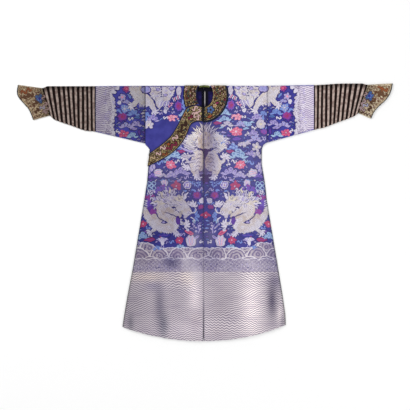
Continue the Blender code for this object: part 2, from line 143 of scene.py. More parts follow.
Edge = namedtuple("Edge", "out top low")
SLEEVE_EDGES = {
    "right": (Edge(325, 0, 322), Edge(602, 2, 257)),
    "left": (Edge(354, 0, 318), Edge(616, -4, 246)),
}
STRIPE_END = {"right": (Edge(902, 13, 0), Edge(860, 0, 166)), "left": (Edge(916, -6, 0), Edge(865, 0, 153))}
STRIPE_SAG = {"right": 14.0, "left": 8.0}
TOP_RISE = 13.0
STRIPE_RISE = {"right": 2.0, "left": -TOP_RISE}
RIBS, RIB_DEPTH = 11, 0.7
Mouth = namedtuple("Mouth", "out drop")
CUFF_MOUTH = {
    "right": (
        Mouth(1038, -5), Mouth(1045, 22), Mouth(1041, 50), Mouth(1015, 82), Mouth(988, 110), Mouth(968, 150),
        Mouth(952, 191),
    ),
    "left": (
        Mouth(1057, -TOP_RISE), Mouth(1055, 12), Mouth(1045, 40), Mouth(1021, 72), Mouth(988, 100),
        Mouth(958, 138), Mouth(936, 182),
    ),
}

# Bands of the skirt
WAVES_TOP = 905.0  # drop of the sea's crest, about
STANDING_WATER = 1040.0  # drop where the standing water begins, down to the hem
WATER_PITCH, WATER_PERIOD, WATER_SWING = 11.7, 25.0, 7.4  # its zigzag lines


# ---------------------------------------------------------------- surface of the cloth


def smooth(value):
    value = np.clip(value, 0.0, 1.0)
    return value * value * (3 - 2 * value)


def through(points, t):
    """The point at share t of a smooth curve through the points."""
    last = len(points) - 1
    place = min(max(t, 0.0), 1.0) * last
    k = min(int(place), last - 1)
    u = place - k
    before, a, b, after = (points[min(max(k + step, 0), last)] for step in (-1, 0, 1, 2))
    return tuple(
        0.5 * (2 * q + (r - p) * u + (2 * p - 5 * q + 4 * r - w) * u**2 + (3 * q - p - 3 * r + w) * u**3)
        for p, q, r, w in zip(before, a, b, after)
    )


def side_half(drop, left):
    """The body's half width on its left or right."""
    halves = [
        np.interp(drop, SIDE_DROPS, [getattr(row, side) for row in BODY_SIDES]) for side in ("left", "right")
    ]
    return np.where(left, *halves)


def hem_drop(x):
    """Drop of the bowed hem."""
    return LENGTH - np.where(x > 0, HEM_BOW["left"], HEM_BOW["right"]) * np.abs(x / HEM_HALF) ** HEM_POWER


def bent_drop(row, x):
    """Rows are level down to HEM_BEND_START, and follow the hem more and more below it."""
    share = (row - HEM_BEND_START) / (LENGTH - HEM_BEND_START)
    return np.where(row <= HEM_BEND_START, row, HEM_BEND_START + share * (hem_drop(x) - HEM_BEND_START))


def lift(x, drop):
    """How far the trim's thickness raises the cloth round the neck."""
    return TRIM_LIFT * (1 - smooth((np.hypot(x - NECK_CENTRE, drop + NECK_DROP) - LIFT_NEAR) / LIFT_RUN))


def raised(table, x, drop):
    """Height that a table of ridges adds."""
    total = 0.0
    for ridge in table:
        t = (drop - ridge.top) / (ridge.low - ridge.top)
        middle = ridge.x_top + (ridge.x_low - ridge.x_top) * t
        ends = smooth(t * 4) * smooth((1.12 - t) * 4)
        total = total + ridge.height * ends * np.exp(-(((x - middle) / ridge.width) ** 2))
    return total


def inboard(x, drop):
    """0 at a side seam, 1 well inside the body."""
    to_side = (side_half(drop, x > 0) - np.abs(x)) / SIDE_RAMP
    return smooth(np.maximum(to_side, (UNDERARM - drop) / SIDE_RAMP))


def unevenness(x, drop):
    """Slow swells, as uneven as cloth laid by hand."""
    slow = 0.22 * np.sin(x / 31 + drop / 83) * np.sin(drop / 57 - x / 120)
    return slow + 0.16 * np.sin(x / 17 - drop / 140)


def front_top(x, drop):
    """Height of the front's face."""
    edge = np.where(x > 0, SIDE_TOP, FLAP_SIDE_TOP)
    near_seam = 1 - np.exp(-((x / 9.0) ** 2))
    fine = (raised(CREASES, x, drop) * near_seam + unevenness(x, drop) + 0.3) * smooth(drop / 60)
    return lift(x, drop) + edge + (FRONT_TOP - edge + raised(RIDGES, x, drop) + fine) * inboard(x, drop)


def underlap_top(x, drop):
    """Height of the underlap's face, lower where the flap lies over it."""
    flap_edge = OVERLAP_TOP + OVERLAP_FALL * np.maximum(0.0, np.abs(x) - OVERLAP_TURN)
    top = UNDERLAP_TOP + (FRONT_TOP - UNDERLAP_TOP) * smooth((flap_edge - drop - STEP_DOWN) / STEP_RUN)
    return lift(x, drop) + SIDE_TOP + (top - SIDE_TOP) * inboard(x, drop)


def on_cloth(x, s, out, top):
    """The point out from the body's outer face at (x, s). top(x, drop) is the height of its front face."""
    x, s, out = np.broadcast_arrays(*(np.asarray(v, float) for v in (x, s, out)))
    angle = np.clip(s / ROLL, -math.pi / 2, math.pi / 2)
    drop = np.abs(s) - ROLL_END + ROLL
    flat = np.abs(s) >= ROLL_END
    y = np.where(flat, -drop, (ROLL + out) * np.cos(angle) - ROLL)
    face = np.where(s > 0, top(x, np.maximum(drop, ROLL)) + out, lift(x, drop) - out)
    z = np.where(flat, face, lift(x, 0.0 * x) + ROLL + (ROLL + out) * np.sin(angle))
    return np.stack([x, y, z], -1)


def cut_length(drop):
    """Length of cloth from the crease to a drop."""
    return drop + ROLL_END - ROLL


def drop_of(s):
    return np.abs(s) + ROLL - ROLL_END


def vent(row):
    """Distance of a half's inner edge from the centre line: the seam, which opens at the vent."""
    return SEAM_GAP / 2 + VENT_OPEN * smooth((row - VENT_TOP) / (LENGTH - VENT_TOP))


def neck_edge(s, side):
    """Distance of the neck hole's edge from the centre line."""
    share = np.minimum(1.0, np.abs(s - NECK_DROP) / NECK_DEPTH)
    return NECK_HALF[side] * np.sqrt(1 - share * share)


def overlap_edge(x):
    """The flap's upper edge at x, as a length of cloth from the crease."""
    return np.interp(-x, [-row.edge_x for row in OVERLAP], [row.edge_s for row in OVERLAP])


def sleeve_span(side, x):
    """The drops of a flattened sleeve's upper and lower edges at x."""
    near, far = SLEEVE_EDGES[side]
    share = (np.abs(x) - near.out) / (far.out - near.out)
    return near.top + (far.top - near.top) * share, near.low + (far.low - near.low) * share


Fold = namedtuple("Fold", "height start slope width")
SLEEVE_FOLDS = (
    Fold(1.3, 250, -0.34, 13), Fold(1.0, 190, -0.22, 15),
    Fold(0.9, 130, -0.12, 17), Fold(0.8, 60, 0.05, 20),
)
FOLDS_FROM, FOLDS_RUN, FOLD_INSET = 330.0, 240.0, 25.0


def sleeve_folds(side, x, drop):
    """Soft creases that run from the underarm towards the arm, and fade at the sleeve's edges."""
    along = np.abs(x) - FOLDS_FROM
    total = 0.0
    for fold in SLEEVE_FOLDS:
        crease = np.exp(-(((drop - fold.start - fold.slope * along) / fold.width) ** 2))
        total = total + fold.height * crease * smooth(1.25 - along / FOLDS_RUN)
    total = total + 0.25 * (1 + np.sin(along / 19 + drop / 41))
    top, low = sleeve_span(side, x)
    return total * smooth(np.minimum(drop - top, low - drop) / FOLD_INSET)


def on_sleeve(x, s, out, side):
    """The point out from a flattened sleeve's face: its front where s is positive, its back elsewhere."""
    x, s, out = np.broadcast_arrays(*(np.asarray(v, float) for v in (x, s, out)))
    top, low = sleeve_span(side, x)
    drop = np.abs(s)
    radius = SLEEVE_TOP / 2
    inset = np.clip(np.minimum(drop - top, low - drop), 0, radius)
    height = (radius + out) * np.sqrt(1 - ((radius - inset) / radius) ** 2)
    z = radius + np.where(s >= 0, height + sleeve_folds(side, x, drop), -height)
    return np.stack([x, -drop, z], -1)


# ---------------------------------------------------------------- colours and materials


def linear(colour):
    """Linear colour of a colour read off a screen."""
    shares = (channel / 255 for channel in colour)
    return tuple(v / 12.92 if v <= 0.04045 else ((v + 0.055) / 1.055) ** 2.4 for v in shares)


class Wire:
    """A value in a material's node tree. Arithmetic on it adds Math nodes."""

    def __init__(self, nodes, socket):
        self.nodes, self.socket = nodes, socket

    def __add__(self, other):
        return self.nodes.math("ADD", self, other)

    def __sub__(self, other):
        return self.nodes.math("SUBTRACT", self, other)

    def __rsub__(self, other):
        return self.nodes.math("SUBTRACT", other, self)

    def __mul__(self, other):
        return self.nodes.math("MULTIPLY", self, other)

    def __truediv__(self, other):
        return self.nodes.math("DIVIDE", self, other)

    def __abs__(self):
        return self.nodes.math("ABSOLUTE", self)


SHEEN_PALE = (198, 190, 202)  # the pale colour that painted sheen fades the colours to, where the silk would catch the light


class Nodes:
    """A material's node tree, with a short call for each kind of node. Colours are given as on a screen."""

    def __init__(self, name, roughness=0.42, sheen=0.04, metallic=0.0, specular=0.16):
        self.material = bpy.data.materials.new(name)
        self.material.use_nodes = True
        self.tree = self.material.node_tree
        self.shader = self.tree.nodes["Principled BSDF"]
        for socket, value in (
            ("Roughness", roughness), ("Metallic", metallic), ("Sheen Weight", sheen),
            ("Sheen Roughness", 0.4), ("Specular IOR Level", specular),
        ):
            self.shader.inputs[socket].default_value = value

    def add(self, kind, **settings):
        node = self.tree.nodes.new("ShaderNode" + kind)
        for key, value in settings.items():
            setattr(node, key, value)
        return node

    def plug(self, value, socket):
        """Puts a wire, a number or a colour into a socket."""
        if isinstance(value, Wire):
            self.tree.links.new(value.socket, socket)
        else:
            socket.default_value = (*linear(value), 1) if isinstance(value, tuple) else value

    def math(self, operation, *values):
        node = self.add("Math", operation=operation)
        for socket, value in zip(node.inputs, values):
            self.plug(value, socket)
        return Wire(self, node.outputs[0])

    def soft_step(self, value, low, high):
        node = self.add("MapRange", interpolation_type="SMOOTHSTEP")
        for key, given in (("Value", value), ("From Min", low), ("From Max", high)):
            self.plug(given, node.inputs[key])
        return Wire(self, node.outputs[0])

    def mix(self, factor, a, b, blend="MIX"):
        node = self.add("Mix", data_type="RGBA", blend_type=blend)
        for index, value in ((0, factor), (6, a), (7, b)):
            self.plug(value, node.inputs[index])
        return Wire(self, node.outputs[2])

    def cut(self):
        """The cloth's own coordinates in millimetres: x, and the length from the crease."""
        split = self.add("SeparateXYZ")
        self.tree.links.new(self.add("UVMap", uv_map="cut").outputs[0], split.inputs[0])
        return [Wire(self, split.outputs[k]) * (1 / MM) for k in (0, 1)]

    def noise(self, x, y, size, detail=2.0):
        """Noise between 0 and 1 with features of about a size in millimetres."""
        join = self.add("CombineXYZ")
        self.plug(x / size, join.inputs[0])
        self.plug(y / size, join.inputs[1])
        node = self.add("TexNoise", noise_dimensions="2D")
        self.tree.links.new(join.outputs[0], node.inputs["Vector"])
        node.inputs["Scale"].default_value = 1.0
        node.inputs["Detail"].default_value = detail
        return Wire(self, node.outputs["Fac"])

    def patches(self, x, y, size, detail, low, high):
        """Soft patches: 0 where the noise is below low, 1 where it is above high."""
        return self.soft_step(self.noise(x, y, size, detail), low, high)

    def zigzag(self, value, period):
        """A triangle wave between 0 and 1."""
        return self.math("PINGPONG", value, period / 2) / (period / 2)

    def weave(self, x, s, pitch=1.1):
        """The height of threads over and under each other."""
        return self.zigzag(x, pitch) * self.zigzag(s, pitch * 0.8)

    def scales(self, x, y):
        """Overlapping round scales of width 1, as the distance from each one's middle."""
        rows = y * 2.0
        row = self.math("FLOOR", rows)
        rise = (rows - row) * 0.5
        shift = self.math("PINGPONG", row, 1.0) * 0.5
        distances = []
        for offset in (0.0, 0.5):
            across = self.math("FRACT", x + shift + offset) - 0.5
            up = rise - offset
            distances.append(self.math("SQRT", across * across + up * up))
        front, behind = distances
        covered = self.math("LESS_THAN", front, 0.5)
        return front * covered + behind * (1.0 - covered)

    def finish(self, colour, height, depth=0.12):
        """Takes the colour, times the cloth's painted light and shade and its fading, paled by painted sheen,
        and a height in units of depth millimetres.
        """
        painted_light_and_fading = self.add("Attribute", attribute_name="painted_light_and_fading")
        toned = self.mix(1.0, colour, Wire(self, painted_light_and_fading.outputs["Color"]), "MULTIPLY")
        with_painted_sheen = self.mix(Wire(self, painted_light_and_fading.outputs["Alpha"]), SHEEN_PALE, toned)
        self.plug(with_painted_sheen, self.shader.inputs["Base Color"])
        bump = self.add("Bump")
        bump.inputs["Distance"].default_value = depth * MM
        self.plug(height, bump.inputs["Height"])
        self.tree.links.new(bump.outputs[0], self.shader.inputs["Normal"])
        return self.material


def ground_silk():
    """The blue satin ground, and below it the standing water of the hem in zigzag lines."""
    n = Nodes("brocade_ground", 0.45)
    x, s = n.cut()
    down = abs(s)
    fine = n.noise(x, s, 5.0, 3.0)
    blue = n.mix(n.patches(x, s, 60.0, 4.0, 0.3, 0.7), (46, 48, 130), (60, 62, 148))
    blue = n.mix(fine * 0.3, blue, (66, 56, 132))
    deep = n.mix(n.soft_step(fine, 0.3, 0.7), (120, 112, 142), (150, 142, 166))

    drift, settle = n.noise(x, s, 150.0, 1.0) * 60.0, n.noise(s, x, 240.0, 1.0) * 40.0
    swing = n.zigzag(x + drift, WATER_PERIOD) * WATER_SWING
    line = n.soft_step(n.zigzag((down + settle + swing) / WATER_PITCH, 1.0), 0.34, 0.78)
    water = n.mix(line, (218, 208, 214), (118, 107, 128))
    water = n.mix(n.patches(x * 0.25, s, 30.0, 3.0, 0.4, 0.75) * 0.3, water, (150, 138, 158))

    colour = n.mix(n.soft_step(down, WAVES_TOP + 14, WAVES_TOP + 24), blue, deep)
    colour = n.mix(n.soft_step(down, STANDING_WATER - 3, STANDING_WATER + 3), colour, water)
    return n.finish(colour, n.weave(x, s) + line * 0.8)


VEIN = (72, 58, 142)  # the ground's colour between the floats of a figure
VEIN_PITCH = 10.0


def thread(name, base, shade, veins):
    """Woven silk of one figure: long floats with slubs, and veins where the floats are bound down."""
    n = Nodes("silk_" + name, 0.4)
    x, s = n.cut()
    floats = n.zigzag(s + x * 0.35, 2.2)
    shadow = floats * 0.28 + n.patches(x, s, 7.0, 3.0, 0.45, 0.8) * 0.5
    bend = n.noise(x, s, 15.0, 2.0) * (VEIN_PITCH * 2.6)
    slant = x * 0.8 + (s * 0.6 + bend)
    vein = n.soft_step(n.zigzag(slant, VEIN_PITCH), 0.70, 0.92) * veins
    return n.finish(n.mix(vein, n.mix(shadow, base, shade), VEIN), floats - vein, 0.15)


def scale_silk(name, light, warm, dark, size, line):
    """Scales whose edges show the ground. Coordinates run along and across a body in millimetres."""
    n = Nodes("silk_" + name)
    x, y = n.cut()
    far = n.scales(y / size, x / size)
    edge = n.soft_step(far, line, 0.47)
    tone = n.mix(n.patches(x, y, 36.0, 2.0, 0.4, 0.65), light, warm)
    speck = n.soft_step(far, 0.12, 0.0) * 0.5
    return n.finish(n.mix(speck, n.mix(edge, tone, dark), dark), 1.0 - edge, 0.3)


def wave_silk(name, size, light, dark, tinge, lines=6):
    """Rolling waves: overlapping scales of concentric lines, arcs towards the neck."""
    n = Nodes("silk_" + name)
    x, s = n.cut()
    wander = n.noise(x, s, size * 1.6, 1.0) * (size * 0.5)
    far = n.scales((x + wander) / size, (wander - abs(s)) / (size * 0.9))
    line = n.soft_step(n.zigzag(far, 1.0 / lines), 0.35, 0.75)
    tone = n.mix(n.patches(x, s, 70.0, 3.0, 0.35, 0.7), light, tinge)
    colour = n.mix(n.soft_step(far, 0.43, 0.47), n.mix(line, tone, dark), (216, 208, 216))
    return n.finish(colour, 1.0 - line, 0.3)


def border_silk():
    """The sleeve's border of water: fine wavy lines across the arm."""
    n = Nodes("silk_border")
    x, s = n.cut()
    sway = n.zigzag(x + n.noise(x, s, 60.0) * 30.0, 34.0) * 7.0
    line = n.soft_step(n.zigzag((s + sway) / 11.0, 1.0), 0.35, 0.75)
    tone = n.mix(n.patches(x, s, 50.0, 3.0, 0.35, 0.7), (216, 208, 218), (196, 184, 208))
    return n.finish(n.mix(line, tone, (134, 122, 156)), line, 0.3)


def striped_silk():
    """Ribbed silk: a pale stripe on each rib and a black one between. Its x is in ribs."""
    n = Nodes("striped_silk", 0.55, sheen=0.0, specular=0.05)
    x, s = n.cut()
    phase = x * MM
    rib = n.zigzag(phase + n.noise(phase, s / 45.0, 1.0, 2.0) * 0.1, 1.0)
    worn = n.noise(phase, s / 16.0, 1.0, 4.0)
    pale = n.mix(n.soft_step(worn, 0.35, 0.7), (172, 154, 146), (126, 108, 102))
    pale = n.mix(n.soft_step(rib, 0.86, 1.0) * 0.3, pale, (96, 74, 66))
    black = n.mix(n.soft_step(worn, 0.5, 0.8), (18, 8, 6), (44, 26, 24))
    return n.finish(n.mix(n.soft_step(rib, 0.43, 0.72), black, pale), rib + n.zigzag(s, 1.4) * 0.2, 0.8)


def gold_brocade(name, golds, olive, browns):
    """Dark brown silk shot with gold thread in small scrolling leaves."""
    n = Nodes(name, 0.5, sheen=0.0, metallic=0.1, specular=0.12)
    x, s = n.cut()
    bend_x, bend_s = n.noise(x, s, 13.0, 1.0) * 16.0, n.noise(s, x, 13.0, 1.0) * 16.0
    wave, cross = n.math("SINE", (x + bend_x) * 0.5), n.math("SINE", (s + bend_s) * 0.5)
    leaf = n.soft_step(wave * cross, -0.16, 0.22)
    gold = n.mix(n.patches(x, s, 24.0, 3.0, 0.35, 0.68), *golds)
    gold = n.mix(n.patches(x, s, 9.0, 2.0, 0.55, 0.7) * 0.5, gold, olive)
    dark = n.mix(n.patches(x, s, 40.0, 2.0, 0.4, 0.62), *browns)
    return n.finish(n.mix(leaf, dark, gold), leaf + n.weave(x, s, 1.3), 0.35)


def plain_silk(name, base, shade):
    """Plain woven trim with slight wear."""
    n = Nodes(name, 0.5, sheen=0.0, specular=0.08)
    x, s = n.cut()
    return n.finish(n.mix(n.patches(x, s, 18.0, 4.0, 0.38, 0.72), base, shade), n.weave(x, s, 1.2))


def neck_silk(name, base, shade, lit_from=None):
    """Plain silk seen down the neck, in shade below the rim and low in the opening.

    lit_from gives two distances from the tape, with shade between them.
    """
    n = Nodes(name, 0.5, sheen=0.0, specular=0.06)
    x, drop = n.cut()
    silk = n.mix(n.patches(x, drop, 18.0, 4.0, 0.38, 0.72), base, shade)
    lit = n.soft_step(drop, 26, 42) * n.soft_step(0.0 - drop, -124, -100)
    if lit_from:
        lit = lit * n.soft_step(abs(x - NECK_CENTRE), *lit_from)
    return n.finish(n.mix(lit, (9, 8, 20), silk), n.weave(x, drop, 1.2))


THREADS = {  # each figure's silk, and the same silk in shade
    "silver": ((206, 198, 212), (170, 160, 186)), "white": ((228, 222, 235), (198, 190, 212)),
    "cream": ((228, 218, 196), (196, 184, 170)), "grey": ((150, 140, 162), (120, 110, 140)),
    "lavender": ((184, 173, 220), (152, 139, 195)), "violet": ((112, 84, 186), (92, 66, 164)),
    "sky": ((128, 152, 218), (104, 126, 200)), "aqua": ((168, 196, 226), (138, 166, 210)),
    "teal": ((92, 126, 186), (74, 106, 168)), "magenta": ((152, 66, 156), (124, 52, 142)),
    "crimson": ((164, 54, 104), (130, 40, 96)), "coral": ((226, 104, 136), (192, 84, 130)),
    "red": ((190, 62, 106), (154, 50, 104)), "pink": ((246, 172, 188), (222, 140, 172)),
    "purple": ((98, 56, 158), (80, 42, 138)), "dusk": ((118, 100, 148), (96, 78, 132)),
}
PLAIN_THREADS = {  # silks without veins
    "indigo": ((52, 56, 150), (40, 40, 128)), "night": ((50, 42, 116), (38, 32, 96)),
    "plum": ((72, 36, 112), (54, 26, 92)), "wine": ((116, 34, 60), (82, 22, 46)),
    "rust": ((136, 74, 40), (112, 54, 30)), "pitch": ((12, 9, 12), (20, 15, 20)),
    # The dark ink beside the piping is painted shade, and pitch is painted shadow in a gap.
    "piping_dark": ((18, 20, 44), (26, 28, 56)), "gold_thread": ((166, 142, 98), (120, 98, 60)),
    "brown_thread": ((52, 28, 20), (34, 18, 14)), "blue_thread": ((72, 100, 148), (50, 74, 124)),
    "rose_thread": ((200, 168, 164), (158, 122, 124)), "orange_thread": ((168, 88, 48), (136, 62, 38)),
    "green_thread": ((52, 92, 92), (38, 66, 70)), "tan_thread": ((178, 154, 122), (144, 120, 92)),
    "stem_thread": ((96, 64, 42), (70, 44, 30)),
}


# ---------------------------------------------------------------- painted light and shade, with fading and soiling

# Soft patches on the chart, v downwards; wide and tall are half sizes. Tones multiply the colours. Their
# places and strengths were set one by one, by comparing renders with the photo one region at a time.
# Tones paint light and shade: shadows of folds and seams, bands of sheen and the light on each part, with
# some fading.
Tone = namedtuple("Tone", "u v wide tall red green blue")
TONES = (
    Tone(-78, 216, 30, 46, 0.62, 0.62, 0.64), Tone(-44, 219, 5.5, 22, 0.5, 0.5, 0.58),
    Tone(-40, 240, 5.0, 14, 0.5, 0.53, 0.58), Tone(-50, 201, 8, 5, 0.78, 0.78, 0.88),
    Tone(-73, 238, 3.0, 9, 0.55, 0.57, 0.6), Tone(-27, 216, 10, 20, 0.84, 0.84, 0.86),
    Tone(-8, 236, 6, 10, 0.9, 0.88, 0.88), Tone(18, 216, 14, 22, 0.83, 0.82, 0.83),
    Tone(48, 218, 11, 40, 1.75, 1.75, 1.62), Tone(-9, 208, 6, 18, 1.53, 1.52, 1.45),
    Tone(76, 228, 2.6, 8, 1.5, 1.5, 1.4), Tone(-16, 192, 8, 7, 1.3, 1.26, 1.1),
    Tone(-56, 192, 22, 4.5, 1.25, 1.2, 1.05), Tone(12, 246, 10, 6, 0.9, 0.89, 0.89),
    Tone(68.4, 215, 5.0, 18, 0.26, 0.25, 0.34), Tone(72, 196, 8, 9, 0.55, 0.54, 0.66),
    Tone(79, 236, 2.2, 8, 0.6, 0.6, 0.64), Tone(-34, 176, 8, 7, 0.5, 0.5, 0.66),
    Tone(8, 172, 8, 8, 0.72, 0.72, 0.82), Tone(70, 170, 9, 12, 0.66, 0.66, 0.78),
    Tone(-60, 172, 16, 10, 0.8, 0.78, 0.76), Tone(0, 62, 5, 34, 0.8, 0.72, 0.66),
    Tone(6.5, 50, 4.5, 12, 0.54, 0.51, 0.58), Tone(8, 73, 7, 13, 0.62, 0.6, 0.72),
    Tone(6, 108, 4, 18, 0.6, 0.6, 0.72), Tone(4, 156, 8, 16, 0.8, 0.78, 0.84),
    Tone(5.4, 77, 5.0, 9, 0.72, 0.68, 0.74), Tone(-5, 74, 4.0, 11, 1.08, 1.07, 1.06),
    Tone(-36, 18, 24, 15, 0.82, 0.82, 0.87), Tone(2, 118, 64, 44, 0.93, 0.92, 0.96),
    Tone(-34, 96, 24, 16, 0.84, 0.8, 0.88), Tone(-34, 151, 34, 7, 0.78, 0.76, 0.88),
    Tone(34, 151, 34, 6, 0.9, 0.9, 0.94), Tone(-30, 126, 30, 22, 0.95, 0.94, 0.94),
    Tone(3, 166, 13, 6, 0.82, 0.82, 0.84), Tone(3, 180, 15, 5, 0.86, 0.86, 0.88),
    Tone(3, 194, 10, 7, 0.89, 0.89, 0.9), Tone(-12, 243, 24, 8, 1.18, 1.18, 1.17),
    Tone(20, 241, 22, 7, 1.08, 1.08, 1.07), Tone(-5.5, 46, 3.5, 12, 1.16, 1.16, 1.12),
    Tone(8, 54, 8, 15, 0.74, 0.74, 0.82), Tone(1, 88, 8, 6, 0.62, 0.6, 0.78),
    Tone(-7, 43, 6, 6, 1.3, 1.28, 0.97), Tone(-30, 178, 7, 5, 0.63, 0.62, 0.7),
    Tone(29, 180, 18, 5, 0.94, 0.94, 0.97), Tone(-9, 58, 8, 8, 1.06, 1.07, 1.0),
    Tone(0, 70, 24, 24, 0.95, 0.94, 0.96), Tone(40, 120, 15, 13, 1.09, 1.09, 1.07),
    Tone(-38, 124, 36, 36, 0.6, 0.6, 0.64), Tone(-62, 150, 18, 14, 0.78, 0.8, 0.8),
    Tone(-54, 10, 24, 26, 0.7, 0.7, 0.74), Tone(17, 60, 8, 9, 1.05, 1.06, 1.02),
    Tone(32, 100, 30, 8, 0.93, 0.93, 1.0), Tone(-30, 126, 30, 34, 0.95, 0.95, 0.98),
    Tone(60, 132, 8, 26, 0.94, 0.95, 0.98),
)
# Patches of painted sheen, which pale the colours by a share
SheenPatch = namedtuple("SheenPatch", "u v wide tall share")
SHEEN_PATCHES = (
    SheenPatch(42, 84, 52, 74, 0.09), SheenPatch(-34, 97, 26, 17, 0.08), SheenPatch(-8, 154, 5, 9, 0.22),
    SheenPatch(-8, 188, 7, 12, 0.5), SheenPatch(7, 152, 6, 10, 0.12), SheenPatch(46, 180, 16, 7, 0.22),
    SheenPatch(-17, 176, 5, 9, 0.36),
)
BACK_STRENGTH = 0.6  # the patches are weaker on the back

# How much light each side's sleeve gives back in the photo, as the wearer has them
SLEEVE_TONE = {"left": 1.0, "right": 0.54}  # its figures
GROUND_TONE = {"left": 1.14, "right": 0.84}
STRIPE_TONE = {"left": 1.38, "right": 0.9}
CUFF_TONE = {"left": (1.21, 1.3, 1.42), "right": (0.74, 0.74, 0.74)}
SEAM_SHADE = {"left": 0.3, "right": 0.62}  # how dark the sleeve is at its seam
BORDER_LIGHT = {"left": 0.25, "right": 0.0}  # how much lighter its border is
BORDER_START = 95.0  # squares from the centre line to the sleeve's border
SEAM_DROPS = (500, 600, 860, 900, 1160, 1220)  # drops between which the centre seam's shadow changes
SEAM_DEPTHS = (0.66, 0.42, 0.36, 0.12, 0.12, 0.4)


def evenly(light, colour=(1.0, 1.0, 1.0)):
    """Painted light of one colour times the light at each point. Its last value is 1 less the painted sheen.
    """
    made = np.ones((*np.shape(light), 4))
    made[..., :3] = np.array(colour) * np.asarray(light)[..., None]
    return made


def even_shade(x, s):
    return evenly(np.ones(np.shape(x)))


def nearness(u, v, patch):
    """1 at a patch's middle, falling off round it."""
    return np.exp(-(((u - patch.u) / patch.wide) ** 2) - ((v - patch.v) / patch.tall) ** 2)


def painted_light_and_fading(x, s):
    """Painted light and shade at each point, from folds, seams and the sheen of the silk, with some fading
    and soiling.
    """
    u, v = x / CHART, np.abs(s) / CHART
    strength = np.where(s > 0, 1.0, BACK_STRENGTH)
    made = even_shade(x, s)
    for tone in TONES:
        share = nearness(u, v, tone) * strength
        for k, value in enumerate(tone[4:]):
            made[..., k] *= 1 + (value - 1) * share
    for sheen_patch in SHEEN_PATCHES:
        made[..., 3] *= 1 - sheen_patch.share * nearness(u, v, sheen_patch) * strength
    return made


def panel_shade(x, s):
    """The painted light and fading, with painted shade beside the centre seam and along the side seams, where
    the cloth turns down.
    """
    made = painted_light_and_fading(x, s)
    drop = drop_of(s)
    seam = np.exp(-((x / 5.0) ** 2)) * np.interp(drop, SEAM_DROPS, SEAM_DEPTHS)
    side = np.exp(-(((side_half(drop, x > 0) - np.abs(x)) / 6.5) ** 2)) * smooth((drop - 330) / 30) * 0.6
    for k, (at_seam, at_side) in enumerate(((1.0, 1.0), (1.0, 0.92), (0.85, 1.0))):
        made[..., k] *= (1 - seam * at_seam) * (1 - side * at_side)
    return made


def striped_shade(side):
    """The striped sleeve's painted light, with painted shade along its upper fold, from which s runs down the
    front.
    """
    return lambda x, s: evenly(STRIPE_TONE[side] * (0.25 + 0.75 * smooth((s - 4) / 20)))


def sleeve_shade(side, tones=SLEEVE_TONE):
    """The sleeve's painted light, with painted shade beside the seam with the body and a painted lighter
    border.
    """

    def shade(x, s):
        away = np.abs(x) - SLEEVE_EDGES[side][0].out
        depth = SEAM_SHADE[side]
        shadow = depth * np.exp(-np.square(away / 5)) + 0.3 * depth * np.exp(-np.square(away / 34))
        border = smooth((np.abs(x) / CHART - BORDER_START) / 3) * BORDER_LIGHT[side]
        return evenly(tones[side] * (1 - shadow) * (1 + border))

    return shade


def cuff_shade(side):
    """The cuff's painted light, darker beside its seam with the striped sleeve."""
    seam = STRIPE_END[side][0].out
    return lambda x, s: evenly(0.5 + 0.5 * smooth((np.abs(x) - seam) / 56), CUFF_TONE[side])


# ---------------------------------------------------------------- cloth pieces

# The slot of each cloth's material
SLOTS = {
    "ground": "brocade", "stripes": "striped_silk", "gold": "gold_brocade", "tan": "gold_brocade",
    "piping": "binding", "rim": "rim", "navy": "navy_lining", "tape": "pale_tape",
}
LINING, LINING_TOP, TAPE = 1.0, 1.6, 0.7  # thickness of the lining, its height and the tape's thickness
RIM_WALL = 1.6


def world(points):
    """Places in the frame, in metres."""
    return (np.asarray(points, float) + (ORIGIN_X, ORIGIN_Y, 0.0)) * MM


def grid_faces(rows, columns, closed=False):
    """Faces between rows of points, each joined to the next row and, if closed, the last to the first."""
    pairs = [(i, (i + 1) % rows) for i in range(rows if closed else rows - 1)]
    turns = [(i * columns + j, k * columns + j) for i, k in pairs for j in range(columns - 1)]
    return [(a, b, b + 1, a + 1) for a, b in turns]


def corners(grid):
    return grid[:-1, :-1], grid[1:, :-1], grid[1:, 1:], grid[:-1, 1:]


def set_cut(mesh, places):
    """Gives each corner of a mesh its place in the cloth, from millimetres."""
    layer = mesh.uv_layers.new(name="cut")
    layer.data.foreach_set("uv", (places * MM).astype(np.float32).ravel())


def set_painted_light_and_fading(mesh, values):
    layer = mesh.color_attributes.new("painted_light_and_fading", "FLOAT_COLOR", "POINT")
    layer.data.foreach_set("color", np.asarray(values, np.float32).ravel())


def shown(name, mesh, slot, node=None):
    """A visible piece of the robe, in place of a CAD node where one is given."""
    piece = bpy.data.objects.new(name, mesh)
    bpy.context.scene.collection.objects.link(piece)
    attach(piece, "root")
    if node:
        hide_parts(node)
    return piece


